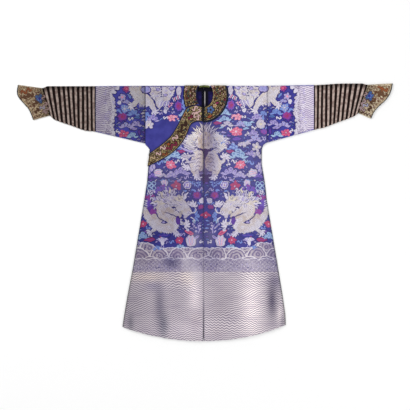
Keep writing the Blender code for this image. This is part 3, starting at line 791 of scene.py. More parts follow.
def shell(node, cloth, points, cut, thickness=SILK, outward=False, closed=False, shade=even_shade, own=None):
    """A cloth wall through rows of points that run towards plus X, one row after another down the front.

    cut holds each point's place in the cloth, and own its place in the pattern where that is another.
    A closed wall joins its last row to its first, and its cut has one row more.
    """
    rows, across = points.shape[:2]
    name = node + "_cloth"
    mesh = bpy.data.meshes.new(name)
    mesh.from_pydata([tuple(p) for p in world(points).reshape(-1, 3)], [], grid_faces(rows, across, closed))
    set_cut(mesh, np.stack(corners(cut if own is None else own), 2))
    set_painted_light_and_fading(mesh, shade(cut[:rows, :, 0], cut[:rows, :, 1]))
    mesh.materials.append(MATERIALS[cloth])
    mesh.shade_smooth()
    piece = shown(name, mesh, SLOTS[cloth], node)
    wall = piece.modifiers.new("wall", "SOLIDIFY")
    wall.thickness = thickness * MM
    wall.offset = 1 if outward else -1
    wall.use_even_offset = True
    a, b, c, d = corners(cut)
    p, q = c - a, d - b
    piece["cut_area"] = float(np.abs(p[..., 0] * q[..., 1] - p[..., 1] * q[..., 0]).sum() / 2) * MM**2
    piece["cut_size"] = [float(np.ptp(cut[..., k])) * MM for k in (0, 1)]
    return piece


def filled(keys, step):
    """The key rows, with more between them so that none are further apart than a step."""
    rows = [keys[0]]
    for key in keys[1:]:
        count = max(1, math.ceil((key - rows[-1]) / step))
        rows += [rows[-1] + (key - rows[-1]) * (k + 1) / count for k in range(count)]
    return np.array(rows)


ROW_STEP, LINING_STEP = 9.0, 30.0
SIDE_KEYS = (440, 540, 640, 742, 1011, 1100, 1180, 1280, 1360, LENGTH)
ROW_KEYS = (14, 40, 72, 98, 115, 124, 316, 328, 340, 355, *SIDE_KEYS)
BACK_KEYS = (6.8, 20, 50, 90, 150, 316, 328, 340, 355, *SIDE_KEYS)
FLAP_KEYS = (400, *SIDE_KEYS)
ROLL_TURNS = (-1, -0.67, -0.33, 0, 0.33, 0.67, 1)
COLUMNS = np.linspace(0, 1, 49)


def across(inner, outer, side):
    xs = inner + (outer - inner) * COLUMNS
    return xs if side == "left" else -xs[::-1]


def body_row(inner, row, side, sign):
    """(x, s) of a body panel's row, s positive on the front."""
    outer = float(side_half(float(bent_drop(row, SIGN[side] * HEM_HALF)), side == "left"))
    xs = across(inner, outer, side)
    return np.stack([xs, sign * cut_length(bent_drop(row, xs))], -1)


def panel(node, rows, top):
    """A panel of brocade on the body solid."""
    cut = np.array(rows)
    points = on_cloth(cut[..., 0], cut[..., 1], SKIN, top)
    return shell(node, "ground", points, cut, shade=panel_shade)


def body_half(side, top):
    """Front and back of one side, folded at the shoulder."""
    rows = [body_row(float(vent(row)), row, side, -1) for row in filled(BACK_KEYS, ROW_STEP)[::-1]]
    for turn in ROLL_TURNS:
        s = BACK_NECK if turn == -1 else turn * ROLL_END
        xs = across(float(neck_edge(s, side)), SLEEVE_SEAM[side], side)
        rows.append(np.stack([xs, np.full_like(xs, s)], -1))
    for row in filled(ROW_KEYS, ROW_STEP):
        inner = max(float(vent(row)), float(neck_edge(row, side)))
        rows.append(body_row(inner, row, side, 1))
    return panel(f"body_{side}", rows, top)


def flap_cloth():
    """The panel that crosses the front, from its overlap edge to the hem."""
    edge = [(row.edge_x, row.edge_s) for row in OVERLAP]
    top_share = 3 / (len(OVERLAP) - 1)
    edge_rows = 36
    rows = [[through(edge, top_share * share) for share in COLUMNS[::-1]]]
    for k in range(1, edge_rows + 1):
        x_edge, s_edge = through(edge, top_share + (1 - top_share) * k / edge_rows)
        rows.append([(x, s_edge) for x in across(float(vent(0)), -x_edge, "right")])
    rows += [body_row(float(vent(row)), row, "right", 1) for row in filled(FLAP_KEYS, ROW_STEP)]
    return panel("outer_flap", rows, front_top)


def lining_cloth(side):
    """The lining of one half of the back."""
    hem_inset = 16.0
    rows = []
    for row in filled(BACK_KEYS, LINING_STEP):
        xs = body_row(float(vent(0)), row, side, -1)[:, 0]
        drop = bent_drop(row, xs) - (hem_inset if row == LENGTH else 0)
        rows.append(np.stack([xs, drop], -1))
    cut = np.array(rows)
    x, drop = cut[..., 0], cut[..., 1]
    points = np.stack([x, -drop, lift(x, drop) + LINING_TOP + LAY_GAP], -1)
    return shell(f"lining_{side}", "navy", points, cut, LINING, outward=True)


def tape_cloth():
    """The pale tape over the lining's centre seam. Its pale colour is a painted highlight down the neck."""
    half, top, low, crown = 2.8, 14, 190, 0.25
    x, drop = np.meshgrid(NECK_CENTRE + half * np.linspace(-1, 1, 5), np.linspace(top, low, 24))
    round_it = crown * (1 - ((x - NECK_CENTRE) / half) ** 2)
    height = lift(x, drop) + LINING_TOP + LAY_GAP + LINING + SEAM_GAP + round_it
    points, cut = np.stack([x, -drop, height], -1), np.stack([x, drop], -1)
    return shell("lining_tape", "tape", points, cut, TAPE, outward=True)


TRIM_HEIGHT = TRIM + LAY_GAP
TRIM_FOOT = 0.4  # how far the trim reaches into the cloth


def strip(node, cloth, edges, top, columns, crown):
    """Trim lying on the body cloth, between pairs of (x, s), the second on the left going down.

    crown rounds its face.
    """
    pairs = np.array(edges)
    t = np.linspace(0, 1, columns + 1)
    cut = pairs[:, :1] + (pairs[:, 1:] - pairs[:, :1]) * t[None, :, None]
    rise = TRIM_HEIGHT - crown * (2 * t[None, :] - 1) ** 4 + 0 * cut[..., 0]
    points = on_cloth(cut[..., 0], cut[..., 1], rise, top)
    along = np.concatenate([[0], np.cumsum(np.hypot(*np.diff(cut[:, columns // 2], axis=0).T))])
    width = np.hypot(*(pairs[:, 1] - pairs[:, 0]).T)
    own = np.stack([along[:, None] + 0 * cut[..., 0], t[None, :] * width[:, None]], -1)
    piece = shell(node, cloth, points, cut, TRIM_HEIGHT + TRIM_FOOT, own=own)
    piece["cut_size"] = [float(width.max()) * MM, float(along[-1]) * MM]
    return piece


def binding(node, edges, top):
    return strip(node, "piping", edges, top, columns=4, crown=1.2)


def neck_line(phase, side):
    """The neck edge at a phase: 0 centre front, 1 and 2 where the roll begins and ends, 3 centre back."""
    if phase >= 2:
        s, x = BACK_NECK, float(neck_edge(BACK_NECK, side)) * (3 - phase)
    elif phase >= 1:
        s = ROLL_END * (3 - 2 * phase)
        x = float(neck_edge(s, side))
    else:
        first = math.pi / 2
        angle = first + (math.asin((ROLL_END - NECK_DROP) / NECK_DEPTH) - first) * phase
        s, x = NECK_DROP + NECK_DEPTH * math.sin(angle), NECK_HALF[side] * math.cos(angle)
    return SIGN[side] * max(x, SEAM_GAP), s


def outer_line(phase, side):
    """The collar's outer edge at a phase, as in neck_line."""
    ends = [math.asin((s - NECK_DROP) / COLLAR_BACK) for s in (ROLL_END, -ROLL_END)]
    if 1 <= phase <= 2:
        s = ROLL_END * (3 - 2 * phase)
        angle = math.asin((s - NECK_DROP) / COLLAR_BACK)
    elif phase < 1:
        angle = math.pi / 2 + (ends[0] - math.pi / 2) * phase
        s = NECK_DROP + (COLLAR_FRONT if angle > 0 else COLLAR_BACK) * math.sin(angle)
    else:
        angle = ends[1] + (-math.pi / 2 - ends[1]) * (phase - 2)
        s = NECK_DROP + COLLAR_BACK * math.sin(angle)
    return SIGN[side] * max(COLLAR_SIDE[side] * math.cos(angle), SEAM_GAP), s


COLLAR_STARTS = {"left": (0, 0), "right": (0.35, 0.57)}  # phases of its inner and outer front corners


def collar_edges(side, near_share=0, far_share=1):
    """Pairs of edge points from the centre back to the front end, at two shares of the collar's width."""
    phases = [k / 36 for k in range(36)]
    phases += [(3 - turn) / 2 for turn in ROLL_TURNS[::-1]] + [2 + k / 12 for k in range(1, 13)]
    starts = COLLAR_STARTS[side]
    edges = []
    for phase in reversed(phases):
        to_front = 1 - min(phase, 1.0)
        a = neck_line(phase + to_front * starts[0], side)
        b = outer_line(phase + to_front * starts[1], side)
        shares = (near_share, far_share)
        pair = [(a[0] + (b[0] - a[0]) * share, a[1] + (b[1] - a[1]) * share) for share in shares]
        edges.append(pair if side == "left" else pair[::-1])
    return edges


def collar_cloth(side, top):
    """One side of the collar and the dark piping round it."""
    piece = strip(f"collar_{side}", "gold", collar_edges(side), top, columns=10, crown=0.5)
    beyond = 1 + SEAM_GAP / COLLAR_WIDTH
    bound = collar_edges(side, beyond, beyond + BINDING / COLLAR_WIDTH)
    return piece, binding(f"collar_binding_{side}", bound, top)


def band_lines(steps=60):
    """The upper and lower edges of the band across the flap."""
    upper, lower = [(row.edge_x, row.edge_s) for row in OVERLAP], [(row.low_x, row.low_s) for row in OVERLAP]
    return [[through(line, k / steps) for k in range(steps + 1)] for line in (upper, lower)]


def beside(points, distance):
    """The line of points moved sideways."""
    moved = []
    for k, (x, s) in enumerate(points):
        ahead, behind = points[min(k + 1, len(points) - 1)], points[max(k - 1, 0)]
        dx, ds = ahead[0] - behind[0], ahead[1] - behind[1]
        long = math.hypot(dx, ds)
        moved.append((x + ds / long * distance, s - dx / long * distance))
    return moved


def band_cloth():
    """The band along the flap's edge and its two piped edges."""
    upper, lower = band_lines()
    middle = list(zip(beside(upper, BINDING + SEAM_GAP), beside(lower, -BINDING - SEAM_GAP)))
    return (
        strip("front_band", "gold", middle, front_top, columns=10, crown=0.4),
        binding("band_binding_upper", list(zip(upper, beside(upper, BINDING))), front_top),
        binding("band_binding_lower", list(zip(beside(lower, -BINDING), lower)), front_top),
    )


def rim_cloth():
    """The bound rim that rolls over the back of the neck."""
    ends = [-float(neck_edge(BACK_NECK, "right")) + RIM_GAP, float(neck_edge(BACK_NECK, "left")) - RIM_GAP]
    middle, half = (ends[0] + ends[1]) / 2, (ends[1] - ends[0]) / 2
    t = np.linspace(-1, 1, 25)
    turns = [turn * ROLL_END for turn in np.linspace(-1, 1, 11)] + [RIM_LIP * 0.75, RIM_LIP]
    cut = np.array([[(middle + half * share, s) for share in t] for s in turns])
    points = on_cloth(cut[..., 0], cut[..., 1], 0.0, front_top)
    points[..., 1] += RIM_BULGE * (1 - t * t)
    return shell("neck_rim", "rim", points, cut, RIM_WALL)


def no_bow(_):
    return 0.0


def ring(upper, lower, bow=no_bow, height=SLEEVE_TOP, flat_steps=12, roll_steps=5):
    """Points round a flattened sleeve from its upper (out, drop) to its lower: its front, then under it."""
    long = math.hypot(lower[0] - upper[0], lower[1] - upper[1])
    radius = height / 2
    flat = long - 2 * radius

    def plan(distance):
        t = distance / long
        x = upper[0] + (lower[0] - upper[0]) * t
        return x + bow(min(max(t, 0.0), 1.0)), -(upper[1] + (lower[1] - upper[1]) * t)

    points = []
    for start, end, way in ((radius, long - radius, 1), (long - radius, radius, -1)):
        for k in range(flat_steps + 1):
            points.append((*plan(start + way * (flat * k / flat_steps)), radius + way * radius))
        for k in range(1, roll_steps):
            turn = math.pi * k / roll_steps
            place = plan(end + way * radius * math.sin(turn))
            points.append((*place, radius + way * radius * math.cos(turn)))
    return points


def tube(node, cloth, rings, side, along=None, fold=None, inset=0.0, shade=even_shade):
    """A flattened tube through rings that run out from the body. along gives each ring's own coordinate."""
    points = np.array(rings)  # ring, point, xyz
    along = np.abs(points[:, :1, 0]) if along is None else np.array(along)[:, None]
    along = along + 0 * points[..., 0]
    steps = np.linalg.norm(np.diff(np.concatenate([points, points[:, :1]], 1), axis=1), axis=2)
    round_it = np.concatenate([np.zeros((len(points), 1)), np.cumsum(steps, 1)], 1)
    cut = np.stack([np.concatenate([along, along[:, :1]], 1), round_it], -1)
    if fold is not None:
        upper_face = points[..., 2] > SLEEVE_TOP * 0.6
        points[..., 2] += np.where(upper_face, fold(points[..., 0], -points[..., 1]), 0)
    if inset:
        middle = SLEEVE_TOP / 2
        points[..., 2] = middle + (points[..., 2] - middle) * (1 - inset / middle)
    if side == "right":
        points, cut = points[::-1], cut[::-1]
    piece = shell(node, cloth, points.transpose(1, 0, 2), cut.transpose(1, 0, 2), closed=True, shade=shade)
    lengths = np.linalg.norm(np.diff(points, axis=0), axis=2).sum(0)
    girths = cut[:, -1, 1]
    piece["cut_size"] = [float(lengths.max()) * MM, float(girths.max()) * MM]
    piece["cut_area"] = float(lengths.mean() * girths.mean()) * MM**2
    return piece


def sleeve_cloth(side):
    sign = SIGN[side]
    near, far = SLEEVE_EDGES[side]
    rings = []
    for t in np.linspace(0, 1, 31):
        out = near.out + JOIN_GAP + (far.out - near.out - JOIN_GAP) * t
        top, low = near.top + (far.top - near.top) * t, near.low + (far.low - near.low) * t
        rings.append(ring((sign * out, top), (sign * out, low), flat_steps=28))

    def fold(x, drop):
        return sleeve_folds(side, x, drop)

    shade = sleeve_shade(side, GROUND_TONE)
    return tube(f"sleeve_{side}", "ground", rings, side, fold=fold, inset=-SKIN, shade=shade)


RIB_STEPS = 6  # rings of a rib


def striped_ring(side, k):
    """Ring k of the striped sleeve, from its seam."""
    sign = SIGN[side]
    near = SLEEVE_EDGES[side][1]
    end_top, end_low = STRIPE_END[side]
    t = k / (RIBS * RIB_STEPS)
    crest = 0.5 - 0.5 * math.cos(2 * math.pi * k / RIB_STEPS)
    start = near.out + JOIN_GAP
    low_out = start + (end_low.out - start) * t
    top_out = low_out + (end_top.out - end_low.out) * t**1.8
    turn_in = float(smooth((t - 0.9) * 10))
    level = near.top + (STRIPE_RISE[side] - near.top) * float(smooth(t * 1.6))
    top = level + (end_top.top - level) * turn_in
    low = near.low + (end_low.low - near.low) * t + STRIPE_SAG[side] * float(smooth(t * 4)) * (1 - turn_in)
    low += RIB_DEPTH * 2.2 * crest
    height = SLEEVE_TOP - RIB_DEPTH * 2 * (1 - crest)

    def sway(share):
        return sign * 1.2 * math.sin(3.1 * share + k * 0.23)

    return ring((sign * top_out, top), (sign * low_out, low), sway, height, flat_steps=16)


def striped_cloth(side):
    """The ribbed extension: a rounded rib for each stripe, turning to lie along the slanted cuff seam."""
    count = RIBS * RIB_STEPS + 1
    rings = [striped_ring(side, k) for k in range(count)]
    ribs = [(k / RIB_STEPS) / MM for k in range(count)]
    return tube(f"striped_sleeve_{side}", "stripes", rings, side, along=ribs, shade=striped_shade(side))


def cuff_section(side, share, short):
    """The cuff's ring at a share of the way from seam to mouth, short of that by a length at its mouth."""
    sign = SIGN[side]
    end_top, end_low = STRIPE_END[side]
    mouth = CUFF_MOUTH[side]
    first, last = mouth[0], mouth[-1]
    upper_out = end_top.out + (first.out - end_top.out) * share
    lower_out = end_low.out + (last.out - end_low.out) * share
    upper_drop = end_top.top + (first.drop - end_top.top) * share
    lower_drop = end_low.low + (last.drop - end_low.low) * share

    def bow(t):
        out, drop = through(mouth, t)
        straight = first.out + (last.out - first.out) * (drop - first.drop) / (last.drop - first.drop)
        return sign * (out - straight - short) * share

    upper = (sign * (upper_out + JOIN_GAP), upper_drop)
    lower = (sign * (lower_out + JOIN_GAP), lower_drop)
    return ring(upper, lower, bow, flat_steps=20)


CUFF_INSET = 0.4


def cuff_cloth(side):
    """The horse-hoof cuff and its piped mouth."""
    rings = [cuff_section(side, share, BINDING) for share in np.linspace(0, 1, 17)]
    piece = tube(f"cuff_{side}", "tan", rings, side, inset=CUFF_INSET, shade=cuff_shade(side))
    edge = [cuff_section(side, 1, short) for short in np.linspace(BINDING - CUFF_GAP, JOIN_GAP, 4)]
    return piece, tube(f"cuff_binding_{side}", "piping", edge, side)


# ---------------------------------------------------------------- woven figures

# One filled shape. Its points are complex; own holds their coordinates along a body, or None; step is the
# number of points across a ribbon, or 0.
Shape = namedtuple("Shape", "points faces own ink layer step")


def turned(degrees):
    return cmath.exp(1j * math.radians(degrees))


def curve(points, steps=6, closed=False):
    """A smooth line through complex points."""
    p = np.array(points, complex)
    count = len(p)
    last = count if closed else count - 1
    out = []
    for k in range(last):
        places = (k - 1, k, k + 1, k + 2)
        a, b, c, d = (p[i % count] if closed else p[min(max(i, 0), count - 1)] for i in places)
        for u in np.arange(steps) / steps:
            bend = 2 * b + (c - a) * u + (2 * a - 5 * b + 4 * c - d) * u**2
            out.append(0.5 * (bend + (3 * b - a - 3 * c + d) * u**3))
    if not closed:
        out.append(p[-1])
    return np.array(out)


EDGE = 1.5  # width of a figure's dark edge on the chart, half of it under the figure
THINNEST = 0.04  # a stroke's end is no thinner than this
UNEVEN_FROM = 1.3  # discs larger than this are slightly uneven


class Chart:
    """Figures drawn in chart squares, to be woven into a panel."""

    def __init__(self, shapes=()):
        self.shapes = list(shapes)

    def fill(self, outline, ink, layer=1):
        """A figure within an outline. The lowest layer has a dark edge round it."""
        outline = np.asarray(outline, complex)
        if layer == 1:
            self.ribbon(outline, EDGE, "night", 0, closed=True)
        faces = tessellate_polygon([[Vector((p.real, p.imag, 0)) for p in outline]])
        self.shapes.append(Shape(outline, [tuple(f) for f in faces], None, ink, layer, 0))

    def ribbon(self, line, widths, ink, layer=1, columns=1, own=False, shift=0.0, closed=False):
        """A band of a width at each point of a line. own keeps places along and across it, for scales."""
        line = np.asarray(line, complex)
        widths = np.broadcast_to(np.asarray(widths, float), line.shape)
        ahead = np.roll(line, -1) - np.roll(line, 1) if closed else np.gradient(line)
        side = 1j * ahead / np.maximum(np.abs(ahead), 1e-9)
        t = np.linspace(-0.5, 0.5, columns + 1)
        points = (line[:, None] + side[:, None] * (widths[:, None] * (t[None] + shift))).ravel()
        step = columns + 1
        faces = grid_faces(len(line), step, closed)
        coordinates = None
        if own:
            long = np.concatenate([[0], np.cumsum(np.abs(np.diff(line)))])
            places = np.stack([long[:, None] + 0 * t[None], widths[:, None] * t[None]], -1)
            coordinates = places.reshape(-1, 2) * CHART
        self.shapes.append(Shape(points, faces, coordinates, ink, layer, step))

    def stroke(self, points, width, ink, layer=2, start=0.4, end=0.0, steps=5, edge=0.0):
        """A tapering line, with a dark edge of a width where one is given."""
        line = curve(points, steps)
        t = np.linspace(0, 1, len(line))
        widths = width * np.minimum(1, start + (1 - start) * t * 4)
        widths = widths * np.minimum(1, end + (1 - end) * (1 - t) * 3)
        if edge:
            self.ribbon(line, widths + edge, "night", layer - 1)
        self.ribbon(line, np.maximum(widths, THINNEST), ink, layer)

    def disc(
        self, middle, radius, ink, layer=1, lobes=0, depth=0.0, turn=0.0, squeeze=1.0, tilt=0.0, steps=None
    ):
        """A disc, with lobes round it if asked for, flattened by squeeze and then tilted."""
        count = steps or max(14, lobes * 6)
        a = np.arange(count) / count * 2 * math.pi
        r = radius * (1 - depth * (0.5 - 0.5 * np.cos(a * lobes))) if lobes else radius + 0 * a
        if radius > UNEVEN_FROM:
            phase = 1.7 * middle.real + 2.3 * middle.imag
            r = r * (1 + 0.06 * np.sin(2 * a + phase) + 0.05 * np.sin(5 * a + 2 * phase))
        shape = r * np.exp(1j * (a + math.radians(turn)))
        shape = (shape.real + 1j * shape.imag * squeeze) * turned(tilt)
        self.fill(middle + shape, ink, layer)

    def line(self, points, *settings, **more):
        """A stroke through (u, v), v squares below the crease."""
        self.stroke(at_each(points), *settings, **more)

    def grid(self, points, ink, layer):
        """A sheet over rows of points."""
        rows, columns = points.shape
        self.shapes.append(Shape(points.ravel(), grid_faces(rows, columns), None, ink, layer, 0))

    def mirrored(self, total):
        """The same figures on the other side: u becomes total less u."""
        return Chart(shape._replace(points=total - np.conj(shape.points)) for shape in self.shapes)

    def moved(self, by):
        return Chart(shape._replace(points=shape.points + by) for shape in self.shapes)

    def on_back(self):
        """The same figures for the back, whose lengths run the other way."""
        return Chart(shape._replace(points=np.conj(shape.points)) for shape in self.shapes)

    def dyed(self, inks):
        """The same figures with other inks in the place of some."""
        return Chart(shape._replace(ink=inks.get(shape.ink, shape.ink)) for shape in self.shapes)

    def plus(self, *others):
        return Chart(sum((other.shapes for other in others), self.shapes))


def at(u, v):
    """A place on the chart, v squares below the crease."""
    return complex(u, -v)


def at_each(points):
    return [at(u, v) for u, v in points]


def spread(place, turn, points):
    """The points of a figure of size 1, as it lies on the chart."""
    return [place + p * turn for p in points]


def spiral(middle, radius, begin, turns, steps=14):
    """A curl that winds in to its middle."""
    t = np.linspace(0, 1, steps)
    return middle + radius * (1 - 0.82 * t) * np.exp(1j * (math.radians(begin) + turns * 2 * math.pi * t))


CLOUD_LOBES = (  # place and radius of each lobe of three clouds
    ((0.0 + 0.30j, 0.30), (-0.36 + 0.0j, 0.26), (0.36 + 0.02j, 0.27), (0.0 - 0.08j, 0.26)),
    ((-0.28 + 0.12j, 0.26), (0.10 + 0.22j, 0.24), (0.42 - 0.02j, 0.20), (-0.05 - 0.08j, 0.20)),
    ((0.0 + 0.12j, 0.24), (-0.40 - 0.04j, 0.18), (0.40 - 0.04j, 0.18), (0.0 - 0.08j, 0.16)),
)
CLOUD_TAILS = ((-0.15 - 0.12j, -0.55 - 0.26j, -0.95 - 0.18j), (0.15 - 0.12j, 0.5 - 0.3j, 0.92 - 0.2j))


def cloud(chart, place, size, tilt, ink, line, kind=0):
    """A ruyi cloud: curled lobes and drawn-out tails. The second of the three kinds has one tail."""
    turn = turned(tilt) * size
    for k, (spot, radius) in enumerate(CLOUD_LOBES[kind % 3]):
        middle = place + spot * turn
        upper = k % 2
        flat = {"squeeze": 0.86, "tilt": tilt}
        if upper:
            chart.disc(middle, radius * size * 1.16, "indigo", 2, steps=12, **flat)
        flat.update(lobes=5, depth=0.10, turn=40 * k + tilt)
        chart.disc(middle, radius * size, ink, 1 + 2 * upper, **flat)
        chart.disc(middle, radius * size * 0.58, line, 4, squeeze=0.8, tilt=tilt, steps=10)
        way = -1 if spot.real < 0 else 1
        chart.ribbon(spiral(middle, radius * size * 0.66, 90 + tilt, 0.8 * way, 9), 0.085 * size, ink, 5)
    for tail in CLOUD_TAILS[: 1 if kind == 1 else 2]:
        chart.stroke(spread(place, turn, tail), 0.26 * size, ink, 1, start=1.0, edge=0.9)


def swirl(chart, place, size, tilt, ink, flip=1):
    """A short ribbon that bends twice and curls at its end."""
    turn = turned(tilt) * size
    points = [
        -0.5 - 0.12j * flip, -0.3 + 0.3j * flip, -0.05 + 0.05j * flip, 0.15 - 0.28j * flip,
        0.42 - 0.05j * flip, 0.3 + 0.2j * flip,
    ]
    chart.stroke(spread(place, turn, points), 0.24 * size, ink, 3, start=0.5, end=0.5, edge=0.9)


def flower(chart, place, size, ink, heart, petals=5, tilt=0.0, edge=None, squeeze=0.85):
    """A round flower: scalloped petals, an inner ring and a heart."""
    if edge:
        chart.disc(place, size * 0.56, edge, 1, lobes=petals, depth=0.28, turn=tilt, squeeze=squeeze)
    chart.disc(place, size * 0.46, ink, 2, lobes=petals, depth=0.3, turn=tilt, squeeze=squeeze)
    for k in range(petals):
        ray = turned(tilt + 360 * k / petals)
        reach = size * (0.57 + 0.1 * math.sin(2.1 * k + place.real))
        tip = complex(ray.real * reach, ray.imag * reach * squeeze)
        petal = [place + 0.3 * tip, place + tip]
        chart.stroke(petal, size * 0.3, ink, 2, start=1, end=0.2, edge=size * 0.04)
    for k in range(petals):
        ray = turned(tilt + 360 * (k + 0.5) / petals)
        line = [place + ray * size * 0.18, place + ray * size * 0.42]
        chart.stroke(line, size * 0.07, heart, 3, start=1, end=1)
    chart.disc(place, size * 0.17, heart, 4, lobes=5, depth=0.3, squeeze=squeeze)
    chart.disc(place, size * 0.07, "white", 5)


def blossom(chart, place, size, ink, heart, petals=5, tilt=0.0):
    """Separate round petals about a heart."""
    for k in range(petals):
        ray = turned(tilt + 360 * k / petals)
        chart.disc(place + ray * size * 0.32, size * 0.2, ink, 1, squeeze=0.9, tilt=tilt + 360 * k / petals)
    chart.disc(place, size * 0.15, heart, 2)


def fruit(chart, place, size, tilt, ink, rind, heart):
    """A round fruit in a ring of rind with two leaves."""
    turn = turned(tilt) * size
    for way in (-1, 1):
        leaf = spread(place, turn, (0.1j, complex(way * 0.3, 0.55), complex(way * 0.62, 0.5)))
        chart.stroke(leaf, 0.2 * size, "sky", 1, start=0.6)
    chart.disc(place, size * 0.56, rind, 1, squeeze=0.84, tilt=tilt, lobes=9, depth=0.24)
    chart.disc(place, size * 0.42, ink, 2, squeeze=0.8, tilt=tilt, lobes=7, depth=0.2)
    chart.ribbon(spiral(place, size * 0.3, tilt, 1.3, 16), size * 0.07, heart, 3)
    chart.disc(place + 0.02 * turn, size * 0.12, heart, 4)


def bat(chart, place, size, tilt, ink, line):
    """A bat with spread scalloped wings."""
    turn = turned(tilt) * size
    wing = [
        0.04 + 0.10j, 0.2 + 0.26j, 0.42 + 0.3j, 0.62 + 0.12j, 0.66 - 0.1j, 0.5 - 0.02j, 0.4 - 0.16j,
        0.27 - 0.05j, 0.14 - 0.2j, 0.03 - 0.1j,
    ]
    for way in (1, -1):
        shape = [complex(way * p.real, p.imag) for p in wing]
        chart.fill(place + curve(shape, 3, closed=True) * turn, ink, 1)
        for tip in (0.62 + 0.1j, 0.44 - 0.1j):
            root = place + complex(way * 0.08, 0.06) * turn
            bone = [root, place + complex(way * tip.real, tip.imag) * turn * 0.9]
            chart.stroke(bone, 0.05 * size, line, 2)
    chart.disc(place + 0.02j * turn, 0.13 * size, ink, 2, squeeze=1.5, tilt=tilt)
    chart.disc(place + 0.2j * turn, 0.1 * size, ink, 3)
    for way in (-1, 1):
        foot = spread(place, turn, (complex(way * 0.03, -0.15), complex(way * 0.12, -0.34)))
        chart.stroke(foot, 0.07 * size, ink, 2, start=1)


def crane(chart, place, size, tilt):
    """A crane with raised wings, a bent neck and trailing legs."""
    turn = turned(tilt) * size
    for way in (1, -1):
        for k in range(6):
            ray = turned(28 + k * 17) * (0.62 - 0.035 * k)
            bend = complex(way * ray.real * 0.6, ray.imag * 0.62 + 0.05)
            feather = spread(place, turn, (0.05 * way, bend, complex(way * ray.real, ray.imag * 0.8)))
            chart.stroke(feather, 0.13 * size, ("lavender", "white")[k % 2], 2, start=0.8)
    chart.disc(place - 0.02j * turn, 0.17 * size, "white", 3, squeeze=1.3, tilt=tilt)
    neck = spread(place, turn, (0.05j, 0.14 + 0.22j, 0.02 + 0.36j, 0.16 + 0.5j))
    chart.stroke(neck, 0.09 * size, "white", 4, start=1, end=0.6)
    chart.disc(place + (0.17 + 0.5j) * turn, 0.06 * size, "red", 5)
    for way in (-1, 1):
        leg = spread(place, turn, (-0.15j, complex(way * 0.1, -0.34), complex(way * 0.16, -0.5)))
        chart.stroke(leg, 0.06 * size, "lavender", 3, start=1)


def roundel(chart, place, size):
    """A ring of pearls round a four-leaved flower."""
    chart.disc(place, size * 0.5, "silver", 1)
    chart.disc(place, size * 0.43, "violet", 2)
    for k in range(12):
        chart.disc(place + turned(30 * k) * size * 0.46, size * 0.075, "white", 3, steps=8)
    for k in range(4):
        petal = place + turned(45 + 90 * k) * size * 0.2
        chart.disc(petal, size * 0.15, "white", 3, squeeze=0.62, tilt=45 + 90 * k)
        ray = [place + turned(90 * k) * size * reach for reach in (0.08, 0.36)]
        chart.stroke(ray, size * 0.06, "white", 3, start=1, end=1)
    chart.disc(place, size * 0.08, "crimson", 4)


def pearl(chart, place, size):
    """A pearl and the curl on its face."""
    chart.disc(place, size * 0.5, "white", 2)
    chart.ribbon(spiral(place, size * 0.3, 30, 0.9, 10), size * 0.08, "silver", 3)


def knot(chart, place, size, tilt, ink, line):
    """An endless knot of looped cord with two tassels."""
    turn = turned(tilt) * size
    for middle in (0.24 + 0.24j, -0.24 + 0.24j, 0.24 - 0.24j, -0.24 - 0.24j, 0j):
        loop = place + (middle + 0.2 * np.exp(1j * np.linspace(0, 2 * math.pi, 15))) * turn
        chart.ribbon(loop, 0.09 * size, ink, 2 if middle else 3)
    for way in (-1, 1):
        tassel = (complex(way * 0.2, -0.4), complex(way * 0.34, -0.6), complex(way * 0.2, -0.8))
        chart.stroke(spread(place, turn, tassel), 0.12 * size, line, 2, start=1)


def fan(chart, place, size, tilt=0.0):
    """A fan-shaped sacred fungus: a scalloped top over ribs."""
    turn = turned(tilt) * size
    outline = [
        -0.32 - 0.5j, -0.46 - 0.1j, -0.48 + 0.2j, -0.3 + 0.32j, -0.18 + 0.5j, 0.02 + 0.42j, 0.2 + 0.5j,
        0.34 + 0.3j, 0.5 + 0.16j, 0.42 - 0.12j, 0.3 - 0.5j,
    ]
    chart.fill(place + curve(outline, 3, closed=True) * turn, "silver", 1)
    chart.fill(place + curve([p * 0.78 for p in outline], 3, closed=True) * turn, "white", 2)
    for k in range(-2, 3):
        rib = spread(place, turn, (0.07 * k - 0.42j, 0.12 * k - 0.05j, 0.15 * k + 0.3j))
        chart.stroke(rib, 0.06 * size, ("lavender", "pink")[k % 2], 3, start=1, end=1)


def leaf(chart, place, size, tilt, ink, line):
    """A pointed leaf and its midrib."""
    turn = turned(tilt) * size
    outline = curve([-0.5, -0.1 + 0.2j, 0.5, -0.1 - 0.2j], 5, closed=True)
    chart.fill(place + outline * turn, ink, 1)
    chart.stroke([place - 0.35 * turn, place + 0.35 * turn], size * 0.07, line, 2, start=1)


def sprig(chart, place, size, tilt, ink, line):
    """A stem with small paired leaves."""
    turn = turned(tilt) * size
    chart.stroke(spread(place, turn, (-0.5j, -0.1 + 0j, 0.05 + 0.5j)), 0.12 * size, ink, 1, start=1)
    for way, height in ((1, -0.25), (-1, -0.05), (1, 0.15), (-1, 0.32)):
        middle = place + complex(way * 0.2, height) * turn
        chart.disc(middle, 0.16 * size, ink, 2, squeeze=0.6, tilt=tilt + 35 * way)
        chart.disc(place + complex(way * 0.24, height) * turn, 0.07 * size, line, 3)


# ---------------------------------------------------------------- dragons


FIN_INKS = ("white", "silver", "cream", "white")
FIN_SIZES = (1.0, 0.8, 1.15)


